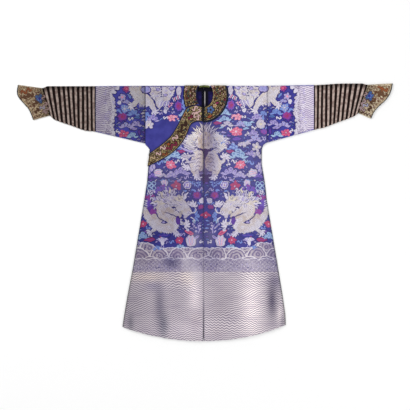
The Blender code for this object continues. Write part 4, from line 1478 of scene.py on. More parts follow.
def fins_along(chart, line, wide, way, reach, spacing, layer):
    """Fins along one side of a body."""
    ahead = np.gradient(line)
    ahead = ahead / np.maximum(np.abs(ahead), 1e-9)
    long = np.concatenate([[0], np.cumsum(np.abs(np.diff(line)))])
    for turn, place in enumerate(np.arange(0.6, long[-1] - 0.5, spacing)):
        k = int(np.searchsorted(long, place)) - 1
        out = 1j * ahead[k] * way
        root = line[k] + out * wide[k] * 0.9
        size = reach * (0.5 + 0.24 * wide[k] ** 0.5) * FIN_SIZES[turn % 3]
        fin = [root - ahead[k] * 0.62, root + ahead[k] * 0.62, root + out * size - ahead[k] * 0.8]
        chart.fill(fin, FIN_INKS[turn % 4], layer)


def body(chart, points, radii, fins=1, layer=1, belly=True):
    """A dragon's body: a dark edge, scales, a belly of bands along one side and fins along both."""
    line = curve(at_each(points), 7)
    wide = np.interp(np.linspace(0, 1, len(line)), np.linspace(0, 1, len(radii)), radii)
    chart.ribbon(line, 2 * wide + 0.9, "night", layer - 1)
    chart.ribbon(line, 2 * wide, "scales", layer, columns=4, own=True)
    if belly:
        chart.ribbon(line, 0.5 * wide, "belly", layer + 1, columns=1, own=True, shift=-1.6 * fins)
    fins_along(chart, line, wide, fins, reach=1.9, spacing=1.5, layer=layer + 1)
    fins_along(chart, line, wide, -fins, reach=1.3, spacing=1.7, layer=layer + 1)


def claw(chart, place, size, aim, fingers=4, ink="white", layer=3):
    """A paw with curved talons."""
    chart.disc(place, size * 0.26, "silver", layer, squeeze=0.9)
    for k in range(fingers):
        ray = turned(aim + (k - (fingers - 1) / 2) * 40)
        tip = place + ray * size * 0.86 * turned(-14)
        talon = [place + ray * size * 0.16, place + ray * size * 0.5 * turned(8), tip]
        chart.stroke(talon, size * 0.27, ink, layer, start=1.0, edge=0.7)


def limb(chart, points, wide, aim, size, fingers=4):
    """A scaled leg that ends in a claw."""
    line = curve(at_each(points), 6)
    taper = np.linspace(wide, wide * 0.62, len(line))
    chart.ribbon(line, 2 * taper + 0.8, "night", 1)
    chart.ribbon(line, 2 * taper, "scales", 3, columns=2, own=True)
    claw(chart, at(*points[-1]), size, aim, fingers)


def strokes(chart, points, count, width, inks, layer, way=1, **more):
    """Strokes side by side. A point is (u, v, du, dv): its place in the first, and its step to the next."""
    for k in range(count):
        stroke = [(way * (u + du * k), v + dv * k) for u, v, du, dv in points]
        chart.line(stroke, width, inks[k % len(inks)], layer, **more)


def flames(chart, middle, near, far, begin, end, count, wide, inks, layer, sway=1.0):
    """Locks of a mane that stream out from a middle, between two directions."""
    for k, aim in enumerate(np.linspace(begin, end, count)):
        ray = turned(aim)
        reach = far * (0.86, 1.0, 0.92, 1.1)[k % 4]
        way = (1, -1)[k % 2]
        bend = [near, near + (reach - near) * 0.4, near + (reach - near) * 0.75, reach]
        lock = [middle + ray * r * turned(way * sway * tilt) for r, tilt in zip(bend, (0, 7, -4, 5))]
        chart.stroke(lock, wide, inks[k % len(inks)], layer + k % 2, start=1, edge=0.7)


def profile_head(chart):
    """The head of a skirt's dragon, in profile: it looks down to the centre seam, its jaws apart."""

    def line(points, wide, ink, layer, start=1.0, end=0.0, edge=0.6):
        chart.line(points, wide, ink, layer, start, end, edge=edge)

    flames(
        chart, at(38, 118), near=4, far=15.4, begin=118, end=6, count=12, wide=1.9,
        inks=("white", "silver", "white", "cream"), layer=3,
    )
    flames(
        chart, at(37, 118), near=3, far=11.0, begin=108, end=20, count=8, wide=1.3,
        inks=("lavender", "white", "silver"), layer=5,
    )
    flames(
        chart, at(48.6, 117.4), near=1.4, far=8.6, begin=66, end=-50, count=6, wide=1.7,
        inks=("white", "lavender", "silver"), layer=3,
    )
    line([(27, 115), (23.0, 112.4), (22.2, 109.2), (19.2, 107.0)], 2.6, "white", 5)
    line([(25, 112), (25.4, 108.4), (23.4, 105.8)], 1.4, "silver", 5)
    line([(24, 119), (20.4, 117.6), (18.8, 115.0)], 1.6, "silver", 5)
    lower = [
        (25.6, 134.2), (29.4, 135.6), (35.4, 133.6), (41.0, 130.6),
        (44.4, 127.6), (38.6, 129.2), (31, 132.2),
    ]
    chart.fill(curve(at_each(lower), 3, closed=True), "silver", 5)
    beard = [(27.4, 135.0, 2.4, -0.6), (26.2, 137.4, 2.4, -0.5), (24.6, 138.8, 2.6, -0.6)]
    strokes(chart, beard, count=4, width=1.3, inks=("white",), layer=6, start=1.0, edge=0.6)
    snout = [(41.4, 116.4), (36.4, 116.6), (30.4, 117.4), (25.4, 121.6), (20.8, 126.4), (18.4, 129.6)]
    body(chart, snout, [4.6, 6.0, 6.8, 5.8, 4.4, 2.8], layer=6, belly=False)
    for u, v, size, ink in (
        (28.8, 112.8, 3.9, "cream"),
        (18.9, 127.2, 2.0, "white"),
        (22.4, 131.2, 2.0, "silver"),
        (26.6, 127.0, 2.2, "cream"),
        (41.6, 120.6, 2.4, "white"),
    ):
        chart.disc(at(u, v), size, ink, 8, lobes=6, depth=0.14, squeeze=0.9, turn=u * 20)
    line([(24.6, 134.0), (31, 131.4), (37.6, 128.6), (44.4, 126.2)], 1.0, "night", 9, edge=0)
    line([(32.0, 122.7), (33.8, 121.9), (36.2, 122.5)], 1.5, "night", 10, start=0.5, end=0.4, edge=0)
    line([(29.6, 120.8), (32.6, 119.6), (36.6, 120.0), (39.0, 118.6)], 0.9, "white", 10, start=0.5)
    for u, v, radius, way in (
        (19.0, 127.2, 1.8, 1), (26.4, 127.0, 1.7, -1), (41.4, 120.6, 1.8, -1), (28.6, 112.8, 2.6, 1),
    ):
        chart.ribbon(spiral(at(u, v), radius, 60, way, 12), 0.55, "grey", 9)
    for k in range(14):
        u, v = 26.4 + 1.35 * k, 119.6 - 1.9 * ((k * 3) % 5)
        hair = [(u, v), (u + 1.1, v - 1.3), (u + 2.6, v - 1.5)]
        line(hair, 0.75, ("lavender", "grey", "white")[k % 3], 9, start=0.7, edge=0)
    line([(18.4, 127), (14.0, 127.4), (12.0, 124.4), (13.0, 121.6)], 1.1, "white", 6)
    line([(17.4, 131.6), (13.8, 134.2), (14.4, 137.4)], 1.1, "white", 6)


def skirt_dragon():
    """The dragon of the left half of the skirt; it coils below its head and grasps at a pearl."""
    chart = Chart()
    chart.disc(at(56.0, 125.6), 5.2, "purple", 1, squeeze=1.05)
    chart.disc(at(54.6, 126.4), 3.4, "magenta", 2, squeeze=0.9)
    chart.disc(at(59.0, 118.4), 3.0, "violet", 1, squeeze=1.8, tilt=-14)
    tail = [
        (41, 115.5), (45.4, 119.6), (46.4, 125.0), (42.6, 129.4), (37.2, 132.8), (33.6, 138.0),
        (37.0, 142.6), (44.0, 142.2), (51.0, 140.0), (57, 134.8), (61.6, 128.4), (63.8, 121.4),
    ]
    body(chart, tail, [3.4, 4.4, 4.8, 4.8, 4.6, 4.8, 4.8, 4.6, 4.3, 3.6, 2.8, 1.3], fins=-1, layer=4)
    jaw = [
        (25.8, 130.4), (31, 125.8), (36.4, 122.4), (42.6, 119.8),
        (47.4, 126), (42, 133.4), (36.6, 138.2), (32.6, 137.0),
    ]
    chart.fill(at_each(jaw), "face", 6)
    haunch = [
        (49.6, 129.6), (53.0, 128.2), (57.4, 129.8), (54.8, 134.4),
        (49.0, 138.2), (43.6, 140.0), (45.4, 134.6),
    ]
    chart.fill(at_each(haunch), "face", 6)
    fold = [(51.6, 128.2), (49.8, 131.6), (46.6, 134.4), (43.4, 136.4)]
    chart.line(fold, 0.9, "night", 8, start=0.7, edge=0)
    chart.disc(at(29.8, 135.0), 2.4, "purple", 7, squeeze=1.8, tilt=-8)
    chart.disc(at(43.8, 137.0), 2.9, "night", 7, squeeze=0.5)
    chart.disc(at(44.2, 136.9), 1.7, "lavender", 8, squeeze=0.5)
    tail_fins = [(60.6, 116, 0, 2), (62.8, 115.2, 0, 2.1), (65.0, 115.4, 0, 2.2)]
    strokes(chart, tail_fins, count=6, width=1.0, inks=("white",), layer=3, start=1)
    limb(chart, [(31, 135.4), (26.6, 137.6), (22.6, 138.8)], wide=2.0, aim=176, size=6.6, fingers=5)
    limb(chart, [(36, 144.0), (33, 146.4), (30.4, 147.2)], wide=2.0, aim=-60, size=6.0, fingers=5)
    limb(chart, [(50.6, 142), (54.6, 145.0), (57.0, 146.6)], wide=2.0, aim=-36, size=6.0, fingers=4)
    claw(chart, at(15.6, 120.4), size=6.8, aim=100, fingers=5, layer=3)
    profile_head(chart)
    for u, v, tilt, flip in (
        (42, 103.8, 20, -1), (47.8, 108.4, -10, 1), (55.4, 113.0, 150, -1), (33.6, 105.0, -30, 1),
    ):
        swirl(chart, at(u, v), 4.8, tilt, "white", flip)
    pearl(chart, at(20.4, 144.4), 3.4)
    return chart


def chest_half():
    """The left half of the dragon on the chest, apart from its face, mirrored about the centre seam."""
    chart = Chart()
    # Plum and dusk fills along the centre seam: painted shade of the body there, which the mirror repeats on
    # the other half.
    chart.fill(at_each([(0, 64), (7.6, 64.6), (5.4, 68.4), (0, 68.4)]), "plum", 1)
    chart.fill(at_each([(0, 68.4), (5.4, 68.4), (8.0, 80), (8.4, 89), (0, 89)]), "dusk", 1)
    near_seam = [
        (2.6, 70.0), (5.2, 67.6), (9.0, 70), (10.4, 80),
        (9.4, 86), (5.4, 85.4), (2.0, 83.0), (1.6, 76),
    ]
    chart.fill(at_each(near_seam), "face", 2)
    bands = [(2.6, 71.6, 0, 2.8), (5.0, 70.8, 0, 2.8), (8.2, 71.8, 0, 2.8)]
    strokes(chart, bands, count=5, width=0.6, inks=("grey",), layer=3, start=0.8)
    chart.fill(at_each([(0, 89), (7.4, 89), (5.4, 95), (3, 98), (0, 98)]), "plum", 1)
    flames(
        chart, at(0.4, 55), near=6.0, far=18.6, begin=88, end=2, count=14, wide=0.95,
        inks=("white", "silver", "white"), layer=2, sway=0.2,
    )
    flames(
        chart, at(16.6, 57), near=3.0, far=9.0, begin=78, end=-66, count=9, wide=1.6,
        inks=("white", "lavender", "silver", "white"), layer=2,
    )
    neck = [(8, 51.6), (12.4, 51.0), (16.6, 54.0), (17.8, 59.4), (14.8, 63.6), (10, 65.0)]
    body(chart, neck, [2.0, 3.0, 3.6, 3.8, 3.4, 2.2], layer=3)
    coil = [(7.6, 65.6), (10.0, 72), (13.0, 79), (12.2, 86), (9.6, 91)]
    body(chart, coil, [2.8, 4.2, 4.6, 3.4, 1.4], fins=-1, layer=3)
    coil_bands = [(5.4, 69, 0.6, 4), (8.0, 68.6, 0.6, 4), (10.4, 70.6, 0.6, 4)]
    strokes(chart, coil_bands, count=5, width=0.9, inks=("grey",), layer=6, start=0.8)
    limb(chart, [(15, 76), (18.6, 77), (20.4, 74.4), (21.4, 72.4)], wide=1.8, aim=60, size=6.6, fingers=6)
    claw(chart, at(9.6, 90.4), size=6.0, aim=-70, fingers=5, layer=4)
    return chart


def chest_extras():
    """What only the right half of the chest shows: the dragon's fore body and its raised arms."""
    chart = Chart()
    body(chart, [(-3.6, 65), (-4.6, 71), (-5.0, 77), (-6.4, 83.4)], [3.0, 4.2, 4.4, 2.4], fins=-1, layer=4)
    for points, ink in (
        ([(-9, 62), (-14, 61.6), (-21, 57.8)], "silver"),
        ([(-10, 66), (-15, 65.6), (-23.4, 62.0)], "lavender"),
        ([(-9, 70), (-15, 70.4), (-21.6, 70.8)], "silver"),
        ([(-8, 75), (-13, 76.4), (-18.6, 77.0)], "silver"),
    ):
        chart.line(points, 2.2, ink, 6, start=1, end=0.5, edge=0.8)
    claw(chart, at(-22, 57.6), size=4.6, aim=170, fingers=4, ink="lavender", layer=6)
    claw(chart, at(-16.4, 80.6), size=6.4, aim=235, fingers=5, layer=6)
    pearl(chart, at(-7.4, 88.2), 5.4)
    return chart


WHISKER = [(10.4, 56, 0, 1.9), (13.6, 56.6, 0, 2.2), (16.4, 55.4, 0, 2.6)]
JOWL = [(0.4, 63.6), (4, 63.8), (8.6, 62.8), (5.2, 66), (2.8, 71.6), (0.3, 73)]


def front_head():
    """The chest dragon's broad face."""
    chart = Chart()
    right = at_each([
        (0, 46.4), (4.2, 47.0), (8.4, 49.6), (11.4, 54), (12.0, 59),
        (9.6, 62.6), (6.4, 64.5), (2.4, 65.6), (0, 65.8),
    ])
    left = [complex(-p.real, p.imag) for p in right[-2:0:-1]]
    chart.fill(curve(right + left, 3, closed=True), "face", 5)
    for way in (-1, 1):
        jowl = [at(way * u, v) for u, v in JOWL]
        # One jowl is in plum, painted shade, and the other in the face's colour.
        chart.fill(curve(jowl, 3, closed=True), "plum" if way > 0 else "face", 6)
        chart.disc(at(way * 11.0, 54.2), 1.2, "white", 6, squeeze=0.7)
        chart.disc(at(way * 11.2, 54.4), 0.75, "night", 7)
        chart.line([(way * 6.4, 63.4), (way * 10, 62.6), (way * 14, 62.2)], 1.0, "night", 7, start=0.7)
        chart.ribbon(spiral(at(way * 3, 59.6), 1.9, 90, 0.9 * way, 12), 0.55, "grey", 6)
        chart.line([(way * 6, 52), (way * 9.4, 50.4), (way * 13.6, 51.4)], 0.8, "white", 6, start=0.6)
        for k in range(16):
            u, v = 1.2 + 2.7 * (k % 4), 47.2 + 3.7 * (k // 4)
            lock = [at(way * u, v), at(way * (u + 0.9), v + 1.6), at(way * (u + 0.5), v + 3.4)]
            chart.stroke(lock, 0.75, ("grey", "white", "lavender", "silver")[(k + k // 4) % 4], 6, start=0.6)
        inks = ("white", "silver")
        strokes(chart, WHISKER, count=5, width=1.0, inks=inks, layer=6, way=way, start=1, edge=0.5)
    return chart


def shoulder_dragon():
    """A dragon that climbs over the shoulder; the back repeats it."""
    chart = Chart()
    loop = [(37.4, -14), (37.4, -2), (38.2, 5), (43.8, 10.6), (49.8, 6), (50.4, -2), (50.4, -14)]
    body(chart, loop, [6.6, 6.6, 6.4, 6.2, 6.2, 6.2, 6.2], belly=False)
    chart.line([(46.4, 10), (46.6, 16), (46.4, 22.4)], 7.0, "scales", 2, start=1, end=0.1, edge=0.8)
    for k in range(8):
        chart.disc(at(44.2 + 0.7 * (k % 2), -6 + 2.3 * k), 0.8, "night", 6, steps=8)
    for u, v, wide, tall in (
        (34.2, 2.4, 2.4, 1.5), (47.8, 3.2, 2.0, 1.4), (40.4, 8.6, 1.8, 1.1),
        (51.4, -1.4, 1.9, 1.5), (36.8, -6, 2.2, 1.4),
    ):
        chart.disc(at(u, v), wide + 0.5, "night", 4, squeeze=tall / wide)
        chart.disc(at(u, v), wide, "lavender", 5, squeeze=tall / wide)
    for k in range(16):
        u, v = 31.6 + 1.45 * k, 0.6 + 2.9 * ((k * 5) % 4)
        lock = [at(u, v), at(u + 1.2, v + 1.1), at(u + 2.8, v + 0.8)]
        chart.stroke(lock, 0.9, ("white", "grey", "lavender")[k % 3], 5, start=0.7)
    chart.disc(at(60.0, 3.4), 5.4, "night", 5, squeeze=0.75)
    chart.disc(at(60.0, 3.2), 4.6, "lavender", 6, squeeze=0.72)
    ripple = [(56.8, 1.2, 1.4, 0), (57.6, 3.2, 1.4, 0), (57.0, 5.2, 1.4, 0)]
    strokes(chart, ripple, count=5, width=0.5, inks=("sky",), layer=7, start=1, end=0.5)
    tail = [(56, 19), (58.6, 14.6), (64, 11), (69.4, 5), (71, -3), (71, -14)]
    body(chart, tail, [3.0, 4.4, 5.6, 6.0, 5.6, 5.4], fins=-1, layer=3)
    limb(chart, [(57, 14), (53.6, 19.4), (51.6, 24)], wide=3.4, aim=-120, size=6.0, fingers=4)
    limb(chart, [(67, 11), (70.4, 16), (73.4, 19.2)], wide=3.0, aim=-20, size=5.8, fingers=5)
    beard = [(36.6, 14.4, 1.7, 0), (37.8, 17.6, 1.7, 0), (39.4, 21.0, 1.7, 0)]
    strokes(chart, beard, count=6, width=1.3, inks=("lavender", "white"), layer=2, start=0.7, edge=0.6)
    chin = [(61.4, 15, 1.5, 0), (62.4, 18, 1.4, 0), (61.6, 21, 1.5, 0)]
    strokes(chart, chin, count=4, width=1.1, inks=("white", "lavender"), layer=2, start=0.8, edge=0.6)
    mane = [(27.2, 8.8, 1.5, 0.7), (25.2, 12.4, 1.7, 0.8)]
    strokes(chart, mane, count=5, width=1.0, inks=("white", "pink"), layer=3, start=1, edge=0.6)
    chart.disc(at(27.0, 4.6), 2.6, "silver", 1, squeeze=1.8)
    chart.disc(at(27.4, 10.8), 1.9, "sky", 1)
    pearl(chart, at(40.6, 24.8), 4.2)
    return chart


# ---------------------------------------------------------------- layout of the small figures

Spot = namedtuple("Spot", "kind u v size tilt inks")
UPPER = (
    Spot(fruit, 27.4, 19.7, 9.6, 80, ("magenta", "violet", "crimson")),
    Spot(sprig, 35.4, 18.2, 6.4, 35, ("pink", "white")),
    Spot(swirl, 39.6, 21.6, 4.4, 60, ("white",)),
    Spot(flower, 34.4, 31.5, 8.2, 8, ("pink", "red")),
    Spot(swirl, 28.8, 31.4, 3.8, 90, ("pink",)),
    Spot(swirl, 40.4, 31.4, 4.4, 30, ("white",)),
    Spot(swirl, 32.6, 26.2, 3.6, 10, ("lavender",)),
    Spot(cloud, 21.2, 26.8, 7.2, 0, ("aqua", "sky")),
    Spot(cloud, 20.6, 32.8, 8.4, 8, ("aqua", "teal")),
    Spot(leaf, 14.0, 37.6, 8.4, 4, ("crimson", "magenta")),
    Spot(cloud, 23.8, 38.3, 7.2, 0, ("silver", "lavender")),
    Spot(leaf, 18.0, 42.0, 5.2, 20, ("aqua", "teal")),
    Spot(swirl, 26.0, 43.6, 5.2, 10, ("white",)),
    Spot(flower, 32.6, 46.2, 10.4, 20, ("coral", "pink")),
    Spot(leaf, 33.6, 53.4, 9.2, 0, ("violet", "purple")),
    Spot(cloud, 36.6, 38.6, 6.4, 0, ("lavender", "sky")),
    Spot(cloud, 44.6, 38.4, 6.6, 180, ("aqua", "sky")),
    Spot(leaf, 42.4, 43.0, 6.2, 6, ("aqua", "sky")),
    Spot(cloud, 53.0, 31.6, 7.6, 10, ("lavender", "violet")),
    Spot(cloud, 60.0, 27.8, 5.8, 0, ("sky", "teal")),
    Spot(leaf, 59.6, 32.0, 5.6, 90, ("sky", "teal")),
    Spot(blossom, 57.2, 38.6, 9.4, 10, ("silver", "cream")),
    Spot(swirl, 50.4, 42.4, 4.8, 10, ("white",)),
    Spot(fruit, 60.6, 46.4, 7.4, 0, ("magenta", "purple", "violet")),
    Spot(cloud, 49.8, 47.6, 6.6, 0, ("lavender", "violet")),
    Spot(cloud, 51.6, 53.0, 8.4, 0, ("lavender", "sky")),
    Spot(sprig, 60.4, 53.0, 5.4, 20, ("lavender", "white")),
    Spot(swirl, 43.4, 48.6, 4.6, 70, ("white",)),
    Spot(swirl, 45.4, 27.0, 4.2, 20, ("lavender",)),
    Spot(leaf, 22.4, 18.6, 4.4, 60, ("sky", "teal")),
)
SLEEVE = (
    Spot(fruit, 79.3, 2.0, 8.0, 0, ("crimson", "magenta", "coral")),
    Spot(blossom, 83.6, 10.6, 7.4, 0, ("lavender", "pink")),
    Spot(leaf, 76.4, 9.4, 6.0, 50, ("sky", "teal")),
    Spot(pearl, 86.4, 15.8, 4.2, 90, ()),
    Spot(cloud, 79.2, 15.2, 5.0, 20, ("lavender", "sky")),
    Spot(flower, 81.0, 21.8, 8.4, 0, ("sky", "silver")),
    Spot(fruit, 83.4, 29.8, 11.0, 0, ("magenta", "purple", "crimson")),
    Spot(cloud, 72.6, 26.0, 7.8, 0, ("sky", "teal")),
    Spot(swirl, 75.2, 32.2, 5.0, 20, ("white",)),
    Spot(leaf, 68.6, 30.6, 6.4, 0, ("teal", "indigo")),
    Spot(cloud, 70.0, 37.0, 7.2, 0, ("lavender", "violet")),
    Spot(cloud, 80.0, 38.0, 8.2, 0, ("lavender", "sky")),
    Spot(leaf, 72.6, 42.0, 7.6, 0, ("lavender", "violet")),
    Spot(cloud, 73.8, 48.4, 7.0, 0, ("aqua", "teal")),
    Spot(flower, 82.4, 47.0, 8.4, 10, ("coral", "crimson")),
    Spot(leaf, 66.6, 45.4, 5.6, 90, ("purple", "violet")),
    Spot(swirl, 88.0, 45.0, 4.6, 70, ("white",)),
)
CHEST = (
    Spot(cloud, 29.8, 61.6, 7.4, 0, ("sky", "aqua")),
    Spot(bat, 40.6, 59.0, 9.6, 10, ("silver", "lavender")),
    Spot(leaf, 26.6, 66.0, 8.2, 0, ("crimson", "magenta")),
    Spot(cloud, 34.6, 68.8, 11.0, 0, ("aqua", "teal")),
    Spot(blossom, 52.8, 61.6, 9.0, 0, ("silver", "cream")),
    Spot(cloud, 54.0, 68.6, 8.4, -20, ("silver", "lavender")),
    Spot(cloud, 47.4, 68.4, 5.8, -20, ("lavender", "violet")),
    Spot(swirl, 30.4, 76.0, 5.0, 0, ("white",)),
    Spot(flower, 36.9, 79.4, 9.8, 0, ("coral", "pink")),
    Spot(swirl, 47.4, 77.4, 6.4, 0, ("sky",)),
    Spot(swirl, 41.6, 75.4, 5.0, 0, ("aqua",)),
    Spot(cloud, 27.0, 85.4, 11.0, 0, ("lavender", "violet")),
    Spot(cloud, 36.4, 89.4, 7.0, 0, ("lavender", "silver")),
    Spot(fan, 49.0, 87.4, 8.4, 90, ()),
    Spot(cloud, 43.8, 89.6, 5.0, 0, ("silver", "lavender")),
    Spot(cloud, 55.8, 81.6, 7.4, 90, ("lavender", "silver")),
    Spot(swirl, 21.0, 92.0, 5.0, 0, ("lavender",)),
    Spot(leaf, 42.0, 65.4, 5.0, 30, ("indigo", "sky")),
    Spot(swirl, 24.6, 79.0, 4.2, 60, ("white",)),
    Spot(cloud, 55.0, 90.2, 5.6, 0, ("violet", "lavender")),
    Spot(leaf, 17.2, 96.6, 5.2, 30, ("sky", "teal")),
)
SKIRT = (
    Spot(sprig, 9.6, 98.8, 7.0, 10, ("sky", "aqua")),
    Spot(swirl, 14.4, 98.4, 4.8, 60, ("sky",)),
    Spot(roundel, 20.7, 99.6, 7.8, 0, ()),
    Spot(flower, 31.4, 100.6, 10.2, 12, ("red", "crimson")),
    Spot(fan, 43.4, 97.4, 7.0, 0, ()),
    Spot(cloud, 44.4, 102.4, 13.0, 0, ("violet", "magenta")),
    Spot(knot, 56.4, 100.4, 9.4, 0, ("aqua", "white")),
    Spot(knot, 57.6, 107.0, 5.6, 20, ("white", "sky")),
    Spot(fruit, 10.9, 109.8, 9.4, 0, ("magenta", "purple", "crimson")),
    Spot(pearl, 5.9, 115.2, 5.6, 90, ()),
    Spot(swirl, 7.6, 104.0, 4.8, 0, ("lavender",)),
    Spot(leaf, 23.0, 105.6, 5.0, 0, ("sky", "teal")),
    Spot(bat, 58.6, 112.2, 9.4, -6, ("magenta", "crimson")),
    Spot(fruit, 7.0, 121.4, 6.6, 0, ("crimson", "purple", "magenta")),
    Spot(cloud, 10.9, 130.6, 8.4, 90, ("sky", "teal")),
    Spot(swirl, 12.6, 135.4, 5.8, 0, ("aqua",)),
    Spot(sprig, 9.8, 143.4, 9.6, -6, ("lavender", "silver")),
    Spot(swirl, 14.4, 139.6, 4.2, 80, ("lavender",)),
    Spot(leaf, 18.9, 147.0, 9.8, 26, ("coral", "crimson")),
    Spot(swirl, 25.6, 149.0, 5.2, 20, ("lavender",)),
    Spot(leaf, 11.4, 152.0, 6.6, -30, ("lavender", "violet")),
    Spot(fan, 17.0, 155.0, 10.8, 0, ()),
    Spot(flower, 28.4, 154.8, 8.0, 0, ("red", "coral")),
    Spot(cloud, 27.6, 160.4, 6.0, 0, ("aqua", "teal")),
    Spot(swirl, 36.2, 156.4, 5.0, 10, ("sky",)),
    Spot(leaf, 44.4, 149.8, 14.0, 0, ("indigo", "violet")),
    Spot(crane, 45.4, 157.0, 11.4, 0, ()),
    Spot(leaf, 58.4, 154.2, 11.0, -4, ("crimson", "magenta")),
    Spot(flower, 65.0, 138.6, 7.4, 0, ("red", "coral")),
    Spot(sprig, 58.8, 141.6, 7.4, 60, ("sky", "lavender")),
    Spot(cloud, 65.2, 150.6, 7.8, 0, ("aqua", "sky")),
    Spot(leaf, 61.4, 146.4, 5.8, 20, ("violet", "magenta")),
    Spot(cloud, 66.2, 129.0, 4.6, 90, ("lavender", "violet")),
    Spot(flower, 1.9, 129.6, 8.4, 0, ("red", "crimson")),
    Spot(cloud, 50.6, 162.4, 5.6, 0, ("sky", "teal")),
    Spot(leaf, 24.6, 140.0, 4.6, 0, ("indigo", "sky")),
)


def scatter(spots):
    """Draws a table's figures."""
    chart = Chart()
    luck = random.Random(3)
    for k, spot in enumerate(spots):
        place = at(spot.u, spot.v)
        if spot.kind in (flower, blossom):
            spot.kind(chart, place, spot.size, *spot.inks, tilt=spot.tilt, petals=luck.choice((5, 6, 7)))
        elif spot.kind in (roundel, pearl):
            spot.kind(chart, place, spot.size)
        elif spot.kind is cloud:
            cloud(chart, place, spot.size, spot.tilt, *spot.inks, kind=k)
        else:
            spot.kind(chart, place, spot.size, spot.tilt, *spot.inks)
    return chart


GAP_KINDS = ("leaf", "cloud", "swirl", "leaf", "cloud")
LEAF_INKS = (("violet", "purple"), ("sky", "teal"), ("teal", "indigo"), ("lavender", "violet"))
CLOUD_INKS = (("lavender", "violet"), ("sky", "teal"), ("silver", "lavender"))
SWIRL_INKS = ("white", "lavender", "sky")
GAP_SPACING, GAP_ROOM, GAP_LARGEST = 2.1, 1.35, 4.0
GAP_REACH = np.array([0, 0.6, -0.6, 0.5j, -0.5j, 1, -1])  # places that a small figure takes up


def fill_gaps(chart, corner_a, corner_b, seed):
    """Fills the bare ground between the figures with small leaves, curls and cloud ends."""
    luck = random.Random(seed)
    taken = np.array([p for shape in chart.shapes for p in shape.points])
    made = Chart()
    places = [
        complex(u + luck.uniform(-1, 1), -v + luck.uniform(-1, 1))
        for v in np.arange(corner_a[1], corner_b[1], GAP_SPACING)
        for u in np.arange(corner_a[0], corner_b[0], GAP_SPACING)
    ]
    luck.shuffle(places)
    for place in places:
        clear = float(np.abs(taken - place).min())
        if clear < GAP_ROOM:
            continue
        size = min(clear, GAP_LARGEST) * 1.5
        tilt = luck.uniform(-25, 25)
        kind = luck.choice(GAP_KINDS)
        if kind == "leaf":
            leaf(made, place, size, tilt, *luck.choice(LEAF_INKS))
        elif kind == "cloud":
            cloud(made, place, size * 0.8, tilt, *luck.choice(CLOUD_INKS), kind=2)
        else:
            swirl(made, place, size * 0.8, tilt * 3, luck.choice(SWIRL_INKS))
        taken = np.append(taken, place + size * 0.5 * GAP_REACH)
    return chart.plus(made)


# ---------------------------------------------------------------- the sea at the hem and on the sleeves

SHEET_SHARES = np.linspace(0, 1, 9)
DROPLET_INKS = ("white", "silver", "night", "lavender")


def crest(u):
    """Squares down to the sea's crest: low in the middle, high at the sides, in round bumps."""
    base = 163.2 - 5.0 * float(smooth((abs(u) - 46) / 9))
    return base - 0.8 * abs(math.cos(math.pi * u / 15 + 0.4)) - 0.3 * abs(math.sin(u / 1.9))


def water(chart, us, tops, low, ink, layer):
    """A sheet of water from its tops down to a level, with foam along the tops."""
    rows = [[at(u, top + (low - top) * share) for share in SHEET_SHARES] for u, top in zip(us, tops)]
    chart.grid(np.array(rows), ink, layer)


def curl(chart, place, radius, luck, turns, wide, inks):
    """A curl of foam, in an ink or in one of several."""
    line = spiral(place, radius, luck.uniform(0, 360), luck.choice((-1, 1)) * turns, 12)
    chart.ribbon(line, wide, inks if isinstance(inks, str) else luck.choice(inks), 3)


def sea(left):
    """The rolling waves under the crest, the small waves below them, and foam along the crest."""
    chart = Chart()
    way = 1 if left else -1
    us = np.linspace(-1, 90, 183) * way
    tops = [crest(u) for u in us]
    foam_tops = [174.6 - 2.0 * abs(math.cos(math.pi * u / 12.4)) for u in us]
    water(chart, us, tops, 176.0, "waves", 1)
    water(chart, us, foam_tops, STANDING_WATER / CHART, "small_waves", 2)
    chart.ribbon(at_each(zip(us, tops)), 0.75, "white", 2)
    chart.ribbon(at_each(zip(us, foam_tops)), 0.65, "white", 3)
    luck = random.Random(8)
    for u in np.arange(3, 84, 4.4):
        u = (u + luck.uniform(-1, 1)) * way
        curl(chart, at(u, crest(u) + 1.3), 1.0, luck, 0.9, 0.35, "silver")
        if luck.random() < 0.5:
            chart.disc(at(u + luck.uniform(-2, 2), crest(u) + luck.uniform(4, 9)), 0.5, "night", 3, steps=8)
        chart.disc(at(u + luck.uniform(-2, 2), crest(u) + luck.uniform(4, 8)), 0.45, "white", 4, steps=8)
    for _ in range(170):
        u, v = luck.uniform(1, 84) * way, luck.uniform(177, 185)
        chart.disc(at(u, v), luck.uniform(0.25, 0.5), luck.choice(DROPLET_INKS), 4, steps=7)
    return chart


def sleeve_border():
    """The border of water at the sleeve's end, with curling foam on the body's side."""
    chart = Chart()
    vs = np.linspace(-3, 60, 64)
    foam = [92.8 + 1.5 * abs(math.sin(v * 0.55)) + 0.9 * math.sin(v / 5.0) for v in vs]
    inner = [u - 5.5 * math.exp(-((v / 3.4) ** 2)) for u, v in zip(foam, vs)]
    far = 112.0
    rows = [[at(u + (far - u) * share, v) for share in SHEET_SHARES] for u, v in zip(inner, vs)]
    chart.grid(np.array(rows), "border", 1)
    chart.ribbon(at_each(zip(inner, vs)), 0.7, "white", 2)
    luck = random.Random(5)
    for v in np.arange(1.5, 56, 3.7):
        place = at(float(np.interp(v, vs, inner)) - luck.uniform(0.2, 1.8), v)
        radius, ink = luck.uniform(1.5, 2.4), luck.choice(("silver", "lavender", "white"))
        chart.disc(place, radius, ink, 1, lobes=5, depth=0.16, turn=v * 30)
    for v in np.arange(1, 56, 3.0):
        u = float(np.interp(v, vs, inner))
        curl(chart, at(u - 0.4, v), 1.9, luck, 1.0, 0.62, "white")
        for place, radius, wide, inks in (
            (at(u + 3.4, v + 1.4), 1.8, 0.5, ("lavender", "silver", "grey")),
            (at(u + 6.6, v), 1.6, 0.45, ("lavender", "white", "grey")),
        ):
            curl(chart, place, radius, luck, 0.9, wide, inks)
    return chart


# ---------------------------------------------------------------- figures of the gold trim


